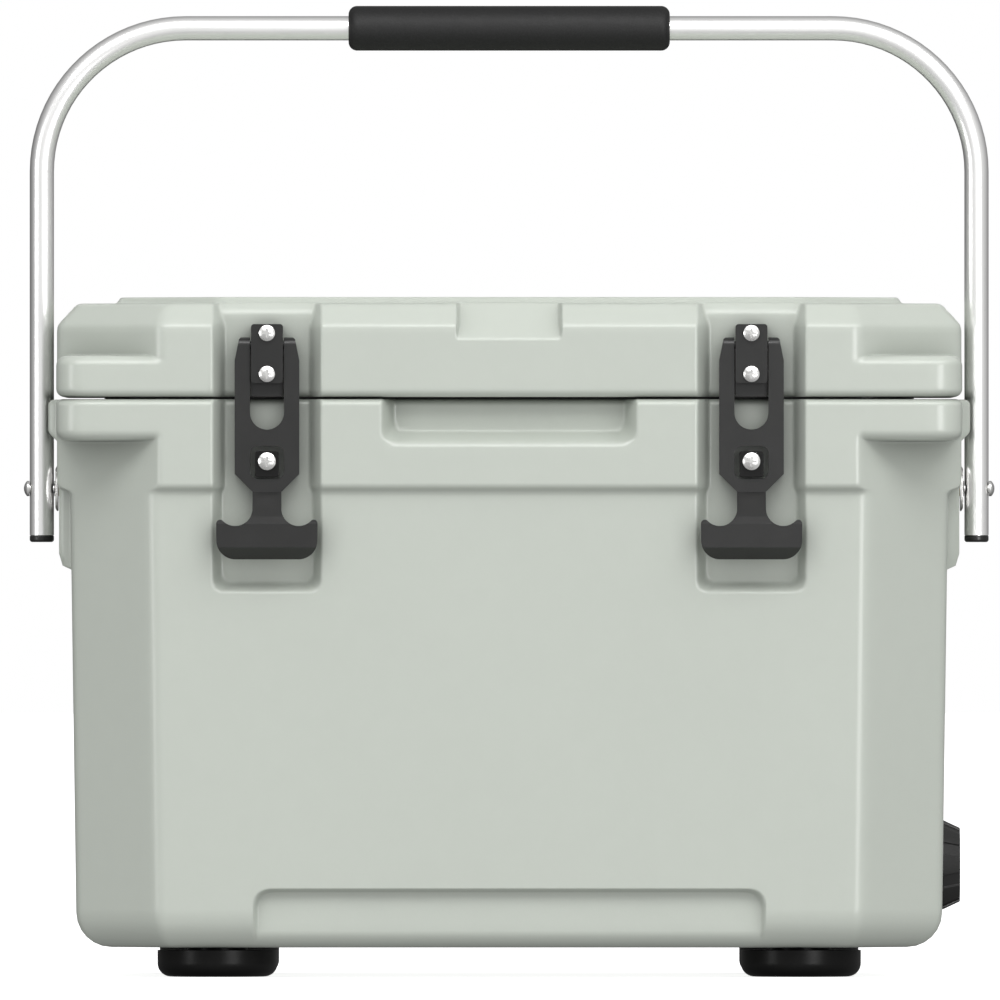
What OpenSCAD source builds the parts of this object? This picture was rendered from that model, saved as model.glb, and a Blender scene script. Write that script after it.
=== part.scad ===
// Hard-sided cooler with a swing bail, two rubber T latches, a screw drain plug and four rubber feet.
// Millimetres, +Z up, front towards -Y. Left and right are as seen from the front.
// The origin is on the floor, under the middle of the cooler.

/* [Cooler] */
// Length of the lid and of the belt under it
cooler_length = 471.4; // [464:0.2:478]
// Depth of the lid and of the belt, front to back
cooler_depth = 280; // [274:1:290]
// Height of the body's rim above the floor
rim_height = 300.8; // [292:0.2:310]
// Height of the body's underside above the floor
underside_height = 15.3; // [14.4:0.1:17]
// Open seam between the rim and the lid
seam_gap = 1.1; // [0.8:0.1:1.6]
// Thickness of the moulded skins
skin = 3.5; // [3:0.1:4]

/* [Body] */
// Height of the raised belt round the top of the body
belt_height = 45.8; // [43:0.2:50]
// How far the belt stands out from the end walls
belt_step_end = 7; // [5:0.5:8]
// How far the belt stands out from the front and back walls
belt_step_front = 4; // [3:0.5:5]
// Draft of the outer walls in degrees
wall_draft = 0.8; // [0.4:0.1:1.2]
// Corner face of the body: length cut from each wall, in plan
corner_cut = 42.7; // [38:0.1:46]
// Rounding of the edges between walls and corner faces
edge_rounding = 11; // [8:0.5:13]
// Rounding where the walls meet the underside
base_rounding = 18; // [14:0.5:20]
// Height of the square corner blocks under the rim
rim_block_height = 21.3; // [18:0.1:24]
// Rounding of the square corner blocks
block_rounding = 14; // [10:0.5:18]
// Depth of the long recess at the foot of the front wall
recess_depth = 5; // [3:0.5:6]
// Length of that recess
recess_length = 266; // [220:1:280]
// Height of the recess's upper edge above the body's underside
recess_height = 29.4; // [26:0.1:34]

/* [Tub] */
// Length of the tub's mouth
tub_length = 376; // [366:1:380]
// Width of the tub's mouth, front to back
tub_width = 200; // [190:1:204]
// Thickness of the floor, from the body's underside to the tub
floor_thickness = 28.7; // [26:0.1:34]
// Rounding of the tub's upright corners
tub_corner = 25; // [20:1:30]
// Rounding round the tub's floor
tub_floor_rounding = 15; // [10:1:18]
// Draft of the tub's walls in degrees
tub_draft = 1.2; // [0.6:0.1:1.6]

/* [Lid] */
// Height of the lid's side, from its lower edge to its top
lid_height = 48.8; // [46:0.2:52]
// Corner face of the lid: length cut from each side, in plan
lid_corner_cut = 53.7; // [44:0.1:56]
// Width of the sloped band round the lid's top
lid_bevel = 10.4; // [8:0.2:12]
// Height of the square corner blocks of the lid
lid_block_height = 20.2; // [18:0.1:23]
// Length of the raised panel on the lid
panel_length = 410; // [396:1:414]
// Width of the raised panel, front to back
panel_width = 220; // [206:1:226]
// Height of the raised panel
panel_rise = 3.3; // [2:0.1:4]
// Depth of the lid's plug inside the tub
plug_depth = 14; // [10:0.5:18]
// Room between the lid's plug and the tub's wall
plug_room = 4; // [3.5:0.5:6]
// Length of the sloped notch in the lid's front edge
notch_length = 54.6; // [46:0.2:60]
// Height of the notch's lower edge below the lid's top
notch_drop = 18.4; // [16:0.2:20]
// Distance from the tub's mouth to the gasket, at the ends
gasket_end_margin = 14; // [12:0.5:15]
// Distance from the tub's mouth to the gasket, at the front and back
gasket_side_margin = 6.3; // [5.5:0.1:7]
// Width of the gasket's section
gasket_width = 9; // [6:0.5:9]
// Depth of the groove that holds the gasket
gasket_groove = 3.2; // [2.5:0.1:3.5]
// Gap left under the gasket when the lid is shut
gasket_lift = 0.3; // [0.2:0.1:0.4]

/* [Latch channels and pocket] */
// Distance between the two latches
latch_spacing = 252; // [244:1:258]
// Width of a latch channel at its mouth
channel_width = 56; // [52:0.5:60]
// Depth of a latch channel behind the belt's front
channel_depth = 14; // [13.8:0.1:15]
// How far a channel runs down below the rim
channel_drop = 101.8; // [98:0.2:110]
// How much a channel's walls close in towards its floor
channel_taper = 5.6; // [4:0.2:6]
// Length of the finger pocket in the belt
pocket_length = 132.6; // [120:0.2:140]
// Depth of the finger pocket
pocket_depth = 13; // [10:0.5:14]
// Height of the finger pocket
pocket_height = 22.8; // [18:0.2:26]

/* [Latch] */
// Width of the rubber latch strap
strap_width = 33.6; // [31:0.2:36]
// Thickness of the latch strap
strap_thickness = 8; // [7:0.2:8.6]
// Width of the strap's open slot
slot_width = 17.7; // [17.5:0.1:18.5]
// Height of the latch pin above the rim
latch_pin_rise = 28.1; // [26.5:0.1:29]
// Diameter of the latch pin
latch_pin_d = 4; // [3:0.1:4.2]
// Distance from the latch pin to the round end of the strap's slot
slot_reach = 35.1; // [33:0.1:37]
// Distance from the latch pin to the lower edge of the square hole
hook_reach = 69.7; // [67:0.1:71]
// Height of the square hole that hooks on the keeper
hook_hole_height = 17.2; // [16.5:0.1:18]
// Rounding of the square hole's corners
hook_hole_rounding = 4.2; // [3:0.1:5]
// Distance from the latch pin to the narrow end of the strap's flat part
strap_reach = 76.4; // [75:0.1:78]
// Distance from the latch pin to the lower edge of the pull bar's front face
strap_length = 105.3; // [103:0.1:108]
// Length of the T-shaped pull bar
pull_bar_length = 52.7; // [46:0.1:56]
// Height of the pull bar's front face
pull_bar_height = 15; // [13:0.2:16]
// Thickness of the pull bar, front to back
pull_bar_thickness = 9; // [8:0.5:9]
// How far the pull bar's underside slopes down to the back
pull_bar_lip = 6.2; // [4:0.1:7]
// Width of the stem above the pull bar
stem_width = 15; // [12:0.2:16]
// How far the pull bar stands out from the strap
pull_bar_reach = 14; // [10:0.5:14]
// Width of the bracket on the lid
bracket_width = 16.6; // [15:0.1:16.8]
// Height of the bracket on the lid
bracket_height = 30.7; // [30:0.1:32]
// Height of the bracket above the latch pin
bracket_rise = 10.9; // [10.6:0.1:12]
// Height of the upper bracket screw above the latch pin
upper_screw_rise = 6.2; // [5.8:0.1:6.6]
// Depth of the lower bracket screw below the latch pin
lower_screw_drop = 15.1; // [14:0.1:15.4]
// Width of the keeper block on the body
keeper_width = 12.4; // [10:0.1:13]
// Height of the keeper block
keeper_height = 13.6; // [12:0.1:14]
// How far the bracket and the keeper stand out of the channel
bracket_reach = 12; // [11:0.2:12.6]
// Diameter of the latch screws' heads
screw_head_d = 8.3; // [7.5:0.1:9]
// Height of the latch screws' heads
screw_head_h = 2.6; // [2:0.1:3]
// Diameter of the latch screws' shanks
screw_shank_d = 4; // [3.5:0.1:4.2]
// Diameter of the threaded inserts
insert_d = 8; // [7.5:0.1:8.5]
// Length of the threaded inserts
insert_length = 12; // [10:0.5:13]

/* [Bail] */
// Diameter of the bail's tube
tube_d = 12.7; // [12:0.1:13]
// Wall of the bail's tube
tube_wall = 1.5; // [1.2:0.1:2]
// Gap between each arm and the plate under its pivot
arm_gap = 0.75; // [0.6:0.05:1]
// Height of the top bar's centre above the pivots
bar_rise = 240.7; // [236:0.1:250]
// Radius of the bail's bends, along the tube's centre
bend_radius = 75; // [60:1:85]
// Depth of the bail's pivots below the rim
pivot_drop = 46.5; // [44:0.1:50]
// Length of each arm below its pivot
arm_tail = 24.4; // [20:0.1:28]
// Length of the grip
grip_length = 168; // [140:1:180]
// Diameter of the grip
grip_d = 23.4; // [20:0.2:26]
// Diameter of the plate under each pivot
pivot_plate_d = 23.5; // [20:0.5:26]
// Thickness of the plate under each pivot
pivot_plate_t = 1.6; // [1.2:0.1:1.8]
// Diameter of the pivot bolts
pivot_bolt_d = 5; // [4:0.1:5.5]
// Diameter of the pivot bolts' domed heads
pivot_head_d = 8; // [7:0.1:10]
// Height of the pivot bolts' domed heads
pivot_head_h = 2.9; // [2:0.1:3.2]
// How far the bail's stops stand out past the belt
stop_reach = 5.2; // [4:0.1:5.6]

/* [Feet] */
// Distance between the feet along the length
foot_spacing_x = 304; // [290:1:308]
// Distance between the feet front to back
foot_spacing_y = 170; // [160:1:174]
// Diameter of a foot
foot_d = 62.6; // [56:0.2:64]
// Height of a foot's pad
foot_height = 13.8; // [12:0.1:14]
// Rounding of a foot's lower edge
foot_rounding = 7; // [4:0.5:8]

/* [Drain] */
// Height of the drain's centre above the tub's floor
drain_rise = 13.6; // [12:0.1:16]
// Diameter of the plug's base
drain_d = 47.6; // [42:0.2:48]
// Diameter of the plug's outer face
drain_face_d = 38.5; // [34:0.5:40]
// Diameter of the plug's shank, over its thread
drain_bore_d = 25; // [22:0.5:26]
// Outer diameter of the drain's barrel
barrel_d = 32; // [31:0.5:33]
// Thickness of the drain's flange
flange_t = 2.4; // [2:0.1:2.6]
// Size of the nut inside the tub, across its corners
nut_d = 38; // [36:0.5:40]
// Thickness of the nut inside the tub
nut_t = 6; // [4:0.5:7]
// Diameter of the well in the tub's floor
sump_d = 44; // [42:0.5:45]

/* [Hinge] */
// Length of the hinge over its end knuckles
hinge_length = 400; // [360:1:410]
// Length of the body's end knuckles
end_knuckle = 50; // [40:1:60]
// Length of the body's middle knuckle
middle_knuckle = 50; // [40:1:60]
// Diameter of the hinge rod
rod_d = 6; // [5:0.5:7]
// Radius of the hinge's knuckles
knuckle_r = 9; // [8:0.1:9]

/* [Fits] */
// Running clearance on the radius, for parts that turn
running_fit = 0.06; // [0.03:0.01:0.1]
// Clearance on the radius, for parts that are fixed together
seat_fit = 0.02; // [0.01:0.01:0.05]
// Clearance round the foam inside a skin
foam_fit = 0.1; // [0.05:0.05:0.2]
// Gap between pieces that move past each other
free_gap = 0.5; // [0.4:0.1:0.6]

/* [Hidden] */
$fn = 64;

shell_color = [0.78, 0.80, 0.77];
black_color = [0.15, 0.15, 0.15];
foam_color = [0.90, 0.87, 0.70];
steel_color = [0.78, 0.78, 0.77];
brass_color = [0.78, 0.65, 0.35];

left = -1;
right = 1;
front = -1;
back = 1;
over = 1;                 // how far a cutter runs past the face that it opens

// Lid and belt
half_length = cooler_length / 2;
half_depth = cooler_depth / 2;
lid_bottom = rim_height + seam_gap;
lid_top = lid_bottom + lid_height;
panel_top = lid_top + panel_rise;
belt_bottom = rim_height - belt_height;
lid_plane = half_length + half_depth - lid_corner_cut;
gasket_corner = tub_corner + 5;

// Walls of the body
wall_x = half_length - belt_step_end;
wall_y = half_depth - belt_step_front;
function drafted(half, z) = half - max(0, belt_bottom - belt_step_front - z) * tan(wall_draft);
recess_top = underside_height + recess_height;
recess_floor = drafted(wall_y, recess_top) - recess_depth;
recess_corner = 7.3;      // rounding of the recess's upper corners
pocket_corner = 6.5;      // rounding of the finger pocket's lower corners
pocket_taper = 6;         // how much the pocket's ends close in towards its floor
pocket_foot = 5.4;        // how far the pocket's lower end slopes up to its floor
tub_floor = underside_height + floor_thickness;

// Latch channel, latch and keeper
channel_bottom = rim_height - channel_drop;
channel_floor = half_depth - channel_depth;
channel_corner = 6;       // rounding of a channel's lower corners
channel_foot = 6;         // how far a channel's lower end slopes up to its floor
channel_break = 4;        // how far below the lid's top a channel's floor starts to slope
latch_x = latch_spacing / 2;
strap_back = channel_floor + 2;
strap_front = strap_back + strap_thickness;
latch_pin_y = -(strap_back + strap_thickness / 2);
latch_pin_height = rim_height + latch_pin_rise;
bracket_front = channel_floor + bracket_reach;
bracket_top = latch_pin_height + bracket_rise;
tongue_front = channel_floor + 6;   // a flat tongue runs down from the bracket to the lid's edge
tongue_bottom = lid_bottom + 0.2;
block_corner = 1.6;                 // rounding of the bracket's and the keeper's corners
bracket_screw_heights = [latch_pin_height + upper_screw_rise, latch_pin_height - lower_screw_drop];
slot_end = latch_pin_height - slot_reach;
hook_hole_bottom = latch_pin_height - hook_reach;
keeper_bottom = hook_hole_bottom + 2 * free_gap;
keeper_screw_height = keeper_bottom + keeper_height / 2 + 1.4;
strap_bottom = latch_pin_height - strap_reach;
shoulder = (strap_width - stem_width) / 2;
prong_taper = 2.2;        // how much each prong narrows on its outer side
prong_taper_height = 12;  // height over which it does so
pull_bar_front = strap_front + pull_bar_reach;
pull_bar_back = pull_bar_front - pull_bar_thickness;
pull_bar_bottom = latch_pin_height - strap_length;
pull_bar_crown = 2.6;     // how far the bar's upper edge is rounded down at its front
pull_bar_scoop = 3.8;     // how far the hollows beside the stem dip into the bar
pull_bar_corner = 10;     // rounding of the bar's lower corners
hollow_r = 9;             // the round hollows between the stem and the bar's horns
horn_r = 2.1;             // the round tips of the horns

// Bail
tube_r = tube_d / 2;
pivot_height = rim_height - pivot_drop;
bar_height = pivot_height + bar_rise;
plate_face = half_length + pivot_plate_t;
arm_x = plate_face + arm_gap + tube_r;
arm_end = pivot_height - arm_tail;
washer_play = 0.25;       // free room beside each pivot spacer
cap_t = 3.6;
cap_rounding = 1.4;
pad_half = pivot_plate_d / 2 + 15;
pad_bottom = pivot_height - pivot_plate_d * 1.8;
stop_width = 15;

// Hinge: the rod's axis lies just behind the lid, in the middle of the seam
web_drop = 7;             // how far a knuckle's outer side runs straight, past the rod's axis
web_depth = 6;            // how far its web reaches into the wall
hinge_y = pull_bar_front - knuckle_r;
hinge_z = rim_height + seam_gap / 2;
knuckle_end = hinge_length / 2;
knuckle_split = knuckle_end - end_knuckle;
body_knuckles = [[-knuckle_end, -knuckle_split], [-middle_knuckle / 2, middle_knuckle / 2],
    [knuckle_split, knuckle_end]];
lid_knuckles = [[-knuckle_split + free_gap, -middle_knuckle / 2 - free_gap],
    [middle_knuckle / 2 + free_gap, knuckle_split - free_gap]];
rod_half = knuckle_end - 5;

// Feet
foot_x = foot_spacing_x / 2;
foot_y = foot_spacing_y / 2;
neck_d = foot_d / 2;
foot_recess = foot_height - 8;

// Drain, on the right-hand end
drain_height = tub_floor + drain_rise;
drain_wall = drafted(wall_x, drain_height);
drain_face_x = half_length;
tub_end = tub_length / 2 - (rim_height - drain_height) * tan(tub_draft);
washer_t = 1;
seal_t = 2.2;
seal_d = drain_bore_d + 8;
plug_flutes = 8;
flute_width = 6.8;
flute_depth = 1.2;
plug_rim = drain_wall + free_gap;                    // edge of the plug's cup
plug_seat = drain_wall + washer_t + flange_t + 0.3;  // bottom of the plug's cup
cup_d = drain_cone(plug_seat) - 2 * (flute_depth + 1.2);
flange_d = cup_d - 2 * free_gap;

// ---------- shared shapes ----------

// One corner of a plan: an arc of the given turn, or its centre alone where there are no steps
function corner(c, r, from, turn, steps) = steps == 0 ? [c]
    : [for (i = [0 : steps]) c + r * [cos(from + turn * i / steps), sin(from + turn * i / steps)]];

// Whole ring at height z from the points of its first quarter
function full_ring(quarter, z) = let (n = len(quarter) - 1) concat(
    [for (p = quarter) [p[0], p[1], z]], [for (i = [n : -1 : 0]) [-quarter[i][0], quarter[i][1], z]],
    [for (p = quarter) [-p[0], -p[1], z]], [for (i = [n : -1 : 0]) [quarter[i][0], -quarter[i][1], z]]);

// Ring with four walls and four corner faces; plane is the distance x + y of the corner faces
function plan_ring(x, y, plane, r, z, steps = 3) = let (inner = plane - r * sqrt(2)) full_ring(concat(
    corner([x - r, inner - x + r], r, 0, 45, steps), corner([inner - y + r, y - r], r, 45, 45, steps)), z);

// Ring of a box with rounded corners
function box_ring(x, y, r, z) = full_ring(corner([x - r, y - r], r, 0, 90, 8), z);

// Solid through a stack of rings that have the same number of points
module loft(rings) {
    n = len(rings[0]);
    last = (len(rings) - 1) * n;
    polyhedron([for (ring = rings) each ring], concat(
        [[for (i = [0 : n - 1]) i]], [[for (i = [n - 1 : -1 : 0]) last + i]],
        [for (k = [0 : len(rings) - 2], i = [0 : n - 1]) let (a = k * n + i, b = k * n + (i + 1) % n)
            each [[a, a + n, b + n], [a, b + n, b]]]));
}

// Box with rounded upright edges, as a true prism
module round_box(x, y, r, z0, z1) {
    translate([0, 0, z0]) linear_extrude(z1 - z0) {
        square([2 * (x - r), 2 * y], center = true);
        square([2 * x, 2 * (y - r)], center = true);
        for (sx = [-1, 1], sy = [-1, 1]) translate([sx * (x - r), sy * (y - r)]) circle(r);
    }
}

// Prism along X from an outline drawn as [y, z]
module along_x(half) {
    translate([-half, 0, 0]) rotate([90, 0, 90]) linear_extrude(2 * half) children();
}

// Prism along Y from an outline drawn as [x, z], from y0 (front) to y1 (back)
module along_y(y0, y1) {
    translate([0, y1, 0]) rotate([90, 0, 0]) linear_extrude(y1 - y0) children();
}

// Rectangle with round corners, its lower left corner at the origin
module round_plate(width, height, r) {
    translate([r, 0]) square([width - 2 * r, height]);
    translate([0, r]) square([width, height - 2 * r]);
    for (x = [r, width - r], z = [r, height - r]) translate([x, z]) circle(r);
}

// Cylinder along X, centred on x = middle
module rod_x(d, length, middle = 0) {
    translate([middle, 0, 0]) rotate([0, 90, 0]) cylinder(d = d, h = length, center = true);
}

// Cylinder along Y from y0 to y1
module rod_y(d, y0, y1) {
    translate([0, y1, 0]) rotate([90, 0, 0]) cylinder(d = d, h = y1 - y0);
}

// Both latches, both ends
module at_latches() {
    for (side = [left, right]) translate([side * latch_x, 0, 0]) children();
}

module at_ends() {
    children();
    mirror([1, 0, 0]) children();
}

module at_feet() {
    for (sx = [left, right], sy = [front, back]) translate([sx * foot_x, sy * foot_y, 0]) children();
}

// Outline [x, z] open at the top, with rounded lower corners
module scoop_outline(half, r, bottom, top) {
    translate([-half, bottom + r]) square([2 * half, top - bottom - r]);
    translate([-half + r, bottom]) square([2 * (half - r), r + 0.01]);
    for (side = [-1, 1]) translate([side * (half - r), bottom + r]) circle(r);
}

// Cutter for a pocket in a front face: drafted side walls, a drafted lower end and an open top
module front_pocket(half, taper, face_y, depth, r, bottom, rise, top) {
    mouth = 6;
    slope = taper / depth;
    intersection() {
        translate([0, 0, bottom - 20]) linear_extrude(top - bottom + 20) polygon([
            [-half - mouth * slope, -face_y - mouth], [half + mouth * slope, -face_y - mouth],
            [half - taper, -face_y + depth], [-half + taper, -face_y + depth]]);
        along_x(half + mouth) polygon([
            [-face_y - mouth, bottom - mouth * rise / depth], [-face_y + depth, bottom + rise],
            [-face_y + depth, top], [-face_y - mouth, top]]);
        along_y(-face_y - mouth, -face_y + depth) scoop_outline(half + mouth, r + mouth, bottom - mouth, top);
    }
}

// Pan head screw along +Y: the head's underside is at y = 0 and the head is in front
module pan_screw(head_d, head_h, shank_d, length) {
    difference() {
        union() {
            rotate([90, 0, 0]) rotate_extrude() intersection() {
                translate([0, head_h - head_d]) circle(head_d);
                square([head_d / 2, head_h]);
            }
            rod_y(shank_d, -0.01, length);
        }
        for (turn = [0, 90]) rotate([0, turn, 0])
            translate([-head_d * 0.3, -head_h - over, -head_d * 0.06])
                cube([head_d * 0.6, over + head_h * 0.55, head_d * 0.12]);
    }
}

// Threaded insert along +Y with its mouth at y = 0
module insert_y(bore_d) {
    difference() {
        rod_y(insert_d, 0, insert_length);
        rod_y(bore_d + 2 * seat_fit, -over, insert_length + over);
    }
}

// ---------- body ----------

// The body's walls, moved in by inset; the inner copy has sharp edges
module outer_walls(inset, top) {
    r = base_rounding - inset;
    steps = inset > 0 ? 0 : 3;
    function ring(z, e) = plan_ring(drafted(wall_x, z) - e, drafted(wall_y, z) - e,
        drafted(wall_x, z) + drafted(wall_y, z) - corner_cut - e * sqrt(2),
        inset > 0 ? 0 : max(edge_rounding - e, 1), z, steps);
    loft(concat(
        [for (a = [0 : 22.5 : 90])
            ring(underside_height + inset + r * (1 - cos(a)), inset + r * (1 - sin(a)))],
        [for (z = [belt_bottom - belt_step_front, top]) ring(z, inset)]));
}

// The belt and the square corner blocks, moved in by inset
module belt(inset, top) {
    plane = wall_x + wall_y - corner_cut - inset * sqrt(2);
    function ring(x, y, z) = plan_ring(x - inset, y - inset, plane, inset > 0 ? 0 : edge_rounding, z,
        inset > 0 ? 0 : 3);
    loft([ring(wall_x, wall_y, belt_bottom - belt_step_front + inset),
        ring(half_length, half_depth, belt_bottom + inset), ring(half_length, half_depth, top)]);
    round_box(half_length - inset, half_depth - inset, block_rounding - inset,
        rim_height - rim_block_height + inset, top);
}

// The tub's inside, made larger by grow
module tub(grow, top) {
    z0 = tub_floor - grow;
    r = tub_floor_rounding + grow;
    function ring(z, e) = let (lean = (rim_height - z) * tan(tub_draft)) box_ring(
        tub_length / 2 + grow - lean - e, tub_width / 2 + grow - lean - e, tub_corner + grow - lean, z);
    loft(concat([for (a = [0 : 30 : 90]) ring(z0 + r * (1 - cos(a)), r * (1 - sin(a)))], [ring(top, 0)]));
}

// Well in the tub's floor that leads to the drain
module sump(grow) {
    translate([tub_end - 14, 0, drain_height]) rod_x(sump_d + 2 * grow, 34 + 2 * grow);
}

// Solid plastic round the inserts and the drain, inside the foam space
module body_bosses(grow) {
    at_feet() translate([0, 0, underside_height])
        cylinder(d = insert_d + 8 + 2 * grow, h = insert_length + 4 + grow);
    at_ends() translate([half_length - 12, 0, pivot_height]) rod_x(insert_d + 8 + 2 * grow, 24 + 2 * grow);
    at_latches() translate([0, 0, keeper_screw_height])
        rod_y(insert_d + 6 + 2 * grow, -half_depth, -channel_floor + insert_length + 3 + grow);
    translate([(tub_end + drain_wall) / 2, 0, drain_height])
        rod_x(barrel_d + 7 + 2 * grow, drain_wall - tub_end + 10);
}

module body_foam_space(gap) {
    near = skin + gap;
    difference() {
        union() {
            outer_walls(near, rim_height - near);
            belt(near, rim_height - near);
        }
        tub(near, rim_height);
        sump(near);
        body_bosses(gap);
        at_latches() translate([-channel_width / 2 - near, -half_depth, channel_bottom - near])
            cube([channel_width + 2 * near, channel_depth + near, rim_height]);
        translate([-pocket_length / 2 - near, -half_depth, rim_height - pocket_height - near])
            cube([pocket_length + 2 * near, pocket_depth + near, rim_height]);
        translate([-recess_length / 2 - near, -half_depth, 0])
            cube([recess_length + 2 * near, half_depth - recess_floor + near, recess_top + near]);
        translate([0, hinge_y, hinge_z]) rod_x(2 * (knuckle_r + free_gap + near), cooler_length);
    }
}

module hinge_web(spans, up) {
    // a knuckle round the rod's axis, and a web that runs down (or up) into the wall
    reach = up ? 1 : -1;
    for (s = spans) translate([(s[0] + s[1]) / 2, 0, 0]) along_x((s[1] - s[0]) / 2) {
        translate([hinge_y, hinge_z]) circle(knuckle_r);
        polygon([[hinge_y + knuckle_r, hinge_z], [hinge_y + knuckle_r, hinge_z + reach * web_drop],
            [half_depth - over, hinge_z + reach * (web_drop + knuckle_r + 1)],
            [half_depth - web_depth, hinge_z + reach * (web_drop + 5)],
            [half_depth - web_depth, hinge_z + reach * (seam_gap / 2 + 0.1)],
            [hinge_y, hinge_z + reach * (seam_gap / 2 + 0.1)], [hinge_y, hinge_z]]);
    }
}

module hinge_clearance(spans) {
    for (s = spans) translate([0, hinge_y, hinge_z])
        rod_x(2 * (knuckle_r + free_gap), s[1] - s[0] + 2 * free_gap, (s[0] + s[1]) / 2);
}

module hinge_bore(fit) {
    translate([0, hinge_y, hinge_z]) rod_x(rod_d + 2 * fit, cooler_length);
}

module bail_stops() {
    // the front stop stands in front of the arm; the rear one lets the arm swing past
    at_ends() {
        top = rim_height - 0.5;
        bottom = rim_height - rim_block_height;
        y0 = tube_r + free_gap;
        for (stop = [[front, stop_reach], [back, pivot_plate_t + arm_gap - free_gap]])
            translate([0, stop[0] * (y0 + stop_width / 2), 0])
                along_y(-stop_width / 2, stop_width / 2) polygon([
                    [half_length - over, bottom - 1], [half_length, bottom - 1],
                    [half_length + stop[1], bottom + stop[1] - 1],
                    [half_length + stop[1], top - 2], [half_length + stop[1] - 1.5, top],
                    [half_length - over, top]]);
    }
}

module pivot_pads() {
    at_ends() along_y(-pad_half, pad_half) polygon([
        [wall_x - 10, pad_bottom + 6], [drafted(wall_x, pad_bottom), pad_bottom],
        [half_length, pad_bottom + 6], [half_length, belt_bottom + 2], [wall_x - 10, belt_bottom + 2]]);
}

module body_shell() color(shell_color) {
    difference() {
        union() {
            outer_walls(0, rim_height - 2);
            belt(0, rim_height);
            bail_stops();
            pivot_pads();
            hinge_web(body_knuckles, false);
        }
        body_foam_space(0);
        tub(0, rim_height + over);
        sump(0);
        at_latches() front_pocket(channel_width / 2, channel_taper, half_depth, channel_depth,
            channel_corner, channel_bottom, channel_foot, lid_top);
        front_pocket(pocket_length / 2, pocket_taper, half_depth, pocket_depth,
            pocket_corner, rim_height - pocket_height, pocket_foot, lid_top);
        along_y(-half_depth - over, -recess_floor)
            rotate([0, 0, 180]) translate([0, -recess_top])
                scoop_outline(recess_length / 2, recess_corner, 0, recess_top);
        hinge_clearance(lid_knuckles);
        hinge_bore(seat_fit);
        for (side = [left, right]) translate([0, hinge_y, hinge_z])
            rod_x(rod_d + 4 + 2 * seat_fit, 10, side * (rod_half + 5));
        at_feet() cylinder(d = insert_d + 2 * seat_fit, h = underside_height + insert_length);
        at_ends() translate([half_length, 0, pivot_height])
            rod_x(insert_d + 2 * seat_fit, 2 * insert_length);
        at_latches() translate([0, 0, keeper_screw_height])
            rod_y(insert_d + 2 * seat_fit, -half_depth, -channel_floor + insert_length);
        translate([drain_wall, 0, drain_height])
            rod_x(barrel_d + 2 * seat_fit, 2 * (drain_wall - tub_end) + 20);
        translate([drain_wall + 10, 0, drain_height]) rod_x(drain_d + 2, 20);
    }
}

module body_foam() color(foam_color) body_foam_space(foam_fit);

module body_inserts() color(brass_color) {
    at_feet() translate([0, 0, underside_height]) rotate([90, 0, 0]) insert_y(screw_shank_d + 1);
    at_ends() translate([half_length, 0, pivot_height]) rotate([0, 0, 90]) insert_y(pivot_bolt_d);
    at_latches() translate([0, -channel_floor, keeper_screw_height]) insert_y(screw_shank_d);
}

module keeper(side) color(black_color) translate([side * latch_x, 0, 0]) difference() {
    along_y(-bracket_front, -channel_floor) translate([-keeper_width / 2, keeper_bottom])
        round_plate(keeper_width, keeper_height, block_corner);
    translate([0, 0, keeper_screw_height]) rod_y(screw_shank_d + 2 * seat_fit, -half_depth, 0);
}

module keeper_left() keeper(left);
module keeper_right() keeper(right);

module keeper_screws() color(steel_color) at_latches() translate([0, -bracket_front, keeper_screw_height])
    pan_screw(screw_head_d + 0.8, screw_head_h, screw_shank_d, bracket_reach + insert_length - 2);

// Pivot hardware, drawn for the right-hand end
module pivot_plate() color(black_color) translate([half_length, 0, pivot_height]) rotate([0, 90, 0])
    difference() {
        union() {
            cylinder(d = pivot_plate_d, h = pivot_plate_t / 2);
            translate([0, 0, pivot_plate_t / 2])
                cylinder(d1 = pivot_plate_d, d2 = pivot_plate_d - 2.9, h = pivot_plate_t / 2);
        }
        translate([0, 0, -over]) cylinder(d = pivot_bolt_d + 2 * seat_fit, h = pivot_plate_t + 2 * over);
    }

module pivot_spacer() color(black_color) translate([plate_face, 0, pivot_height]) rotate([0, 90, 0])
    difference() {
        cylinder(d = pivot_bolt_d + 3, h = arm_gap - washer_play);
        translate([0, 0, -over]) cylinder(d = pivot_bolt_d + 2 * seat_fit, h = 2 * over + arm_gap);
    }

module pivot_bolt() color(steel_color) {
    head_x = arm_x + tube_r + 0.15;
    translate([half_length - insert_length + 1, 0, pivot_height]) rotate([0, 90, 0])
        cylinder(d = pivot_bolt_d, h = head_x - half_length + insert_length - 1);
    translate([head_x, 0, pivot_height]) rotate([0, 90, 0]) rotate_extrude() intersection() {
        translate([0, pivot_head_h - pivot_head_d * 0.7]) circle(pivot_head_d * 0.7);
        square([pivot_head_d / 2, pivot_head_h]);
    }
}

module pivot_plate_right() pivot_plate();
module pivot_plate_left() mirror([1, 0, 0]) pivot_plate();
module pivot_spacer_right() pivot_spacer();
module pivot_spacer_left() mirror([1, 0, 0]) pivot_spacer();
module pivot_bolt_right() pivot_bolt();
module pivot_bolt_left() mirror([1, 0, 0]) pivot_bolt();

// ---------- feet ----------

// Disc on its lower face at z = 0, with that face's edge rounded
module soft_disc(r, height, rounding) rotate_extrude() {
    square([r - rounding, height]);
    translate([0, rounding]) square([r, height - rounding]);
    intersection() {
        translate([r - rounding, rounding]) circle(rounding);
        square([r, height]);
    }
}

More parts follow.
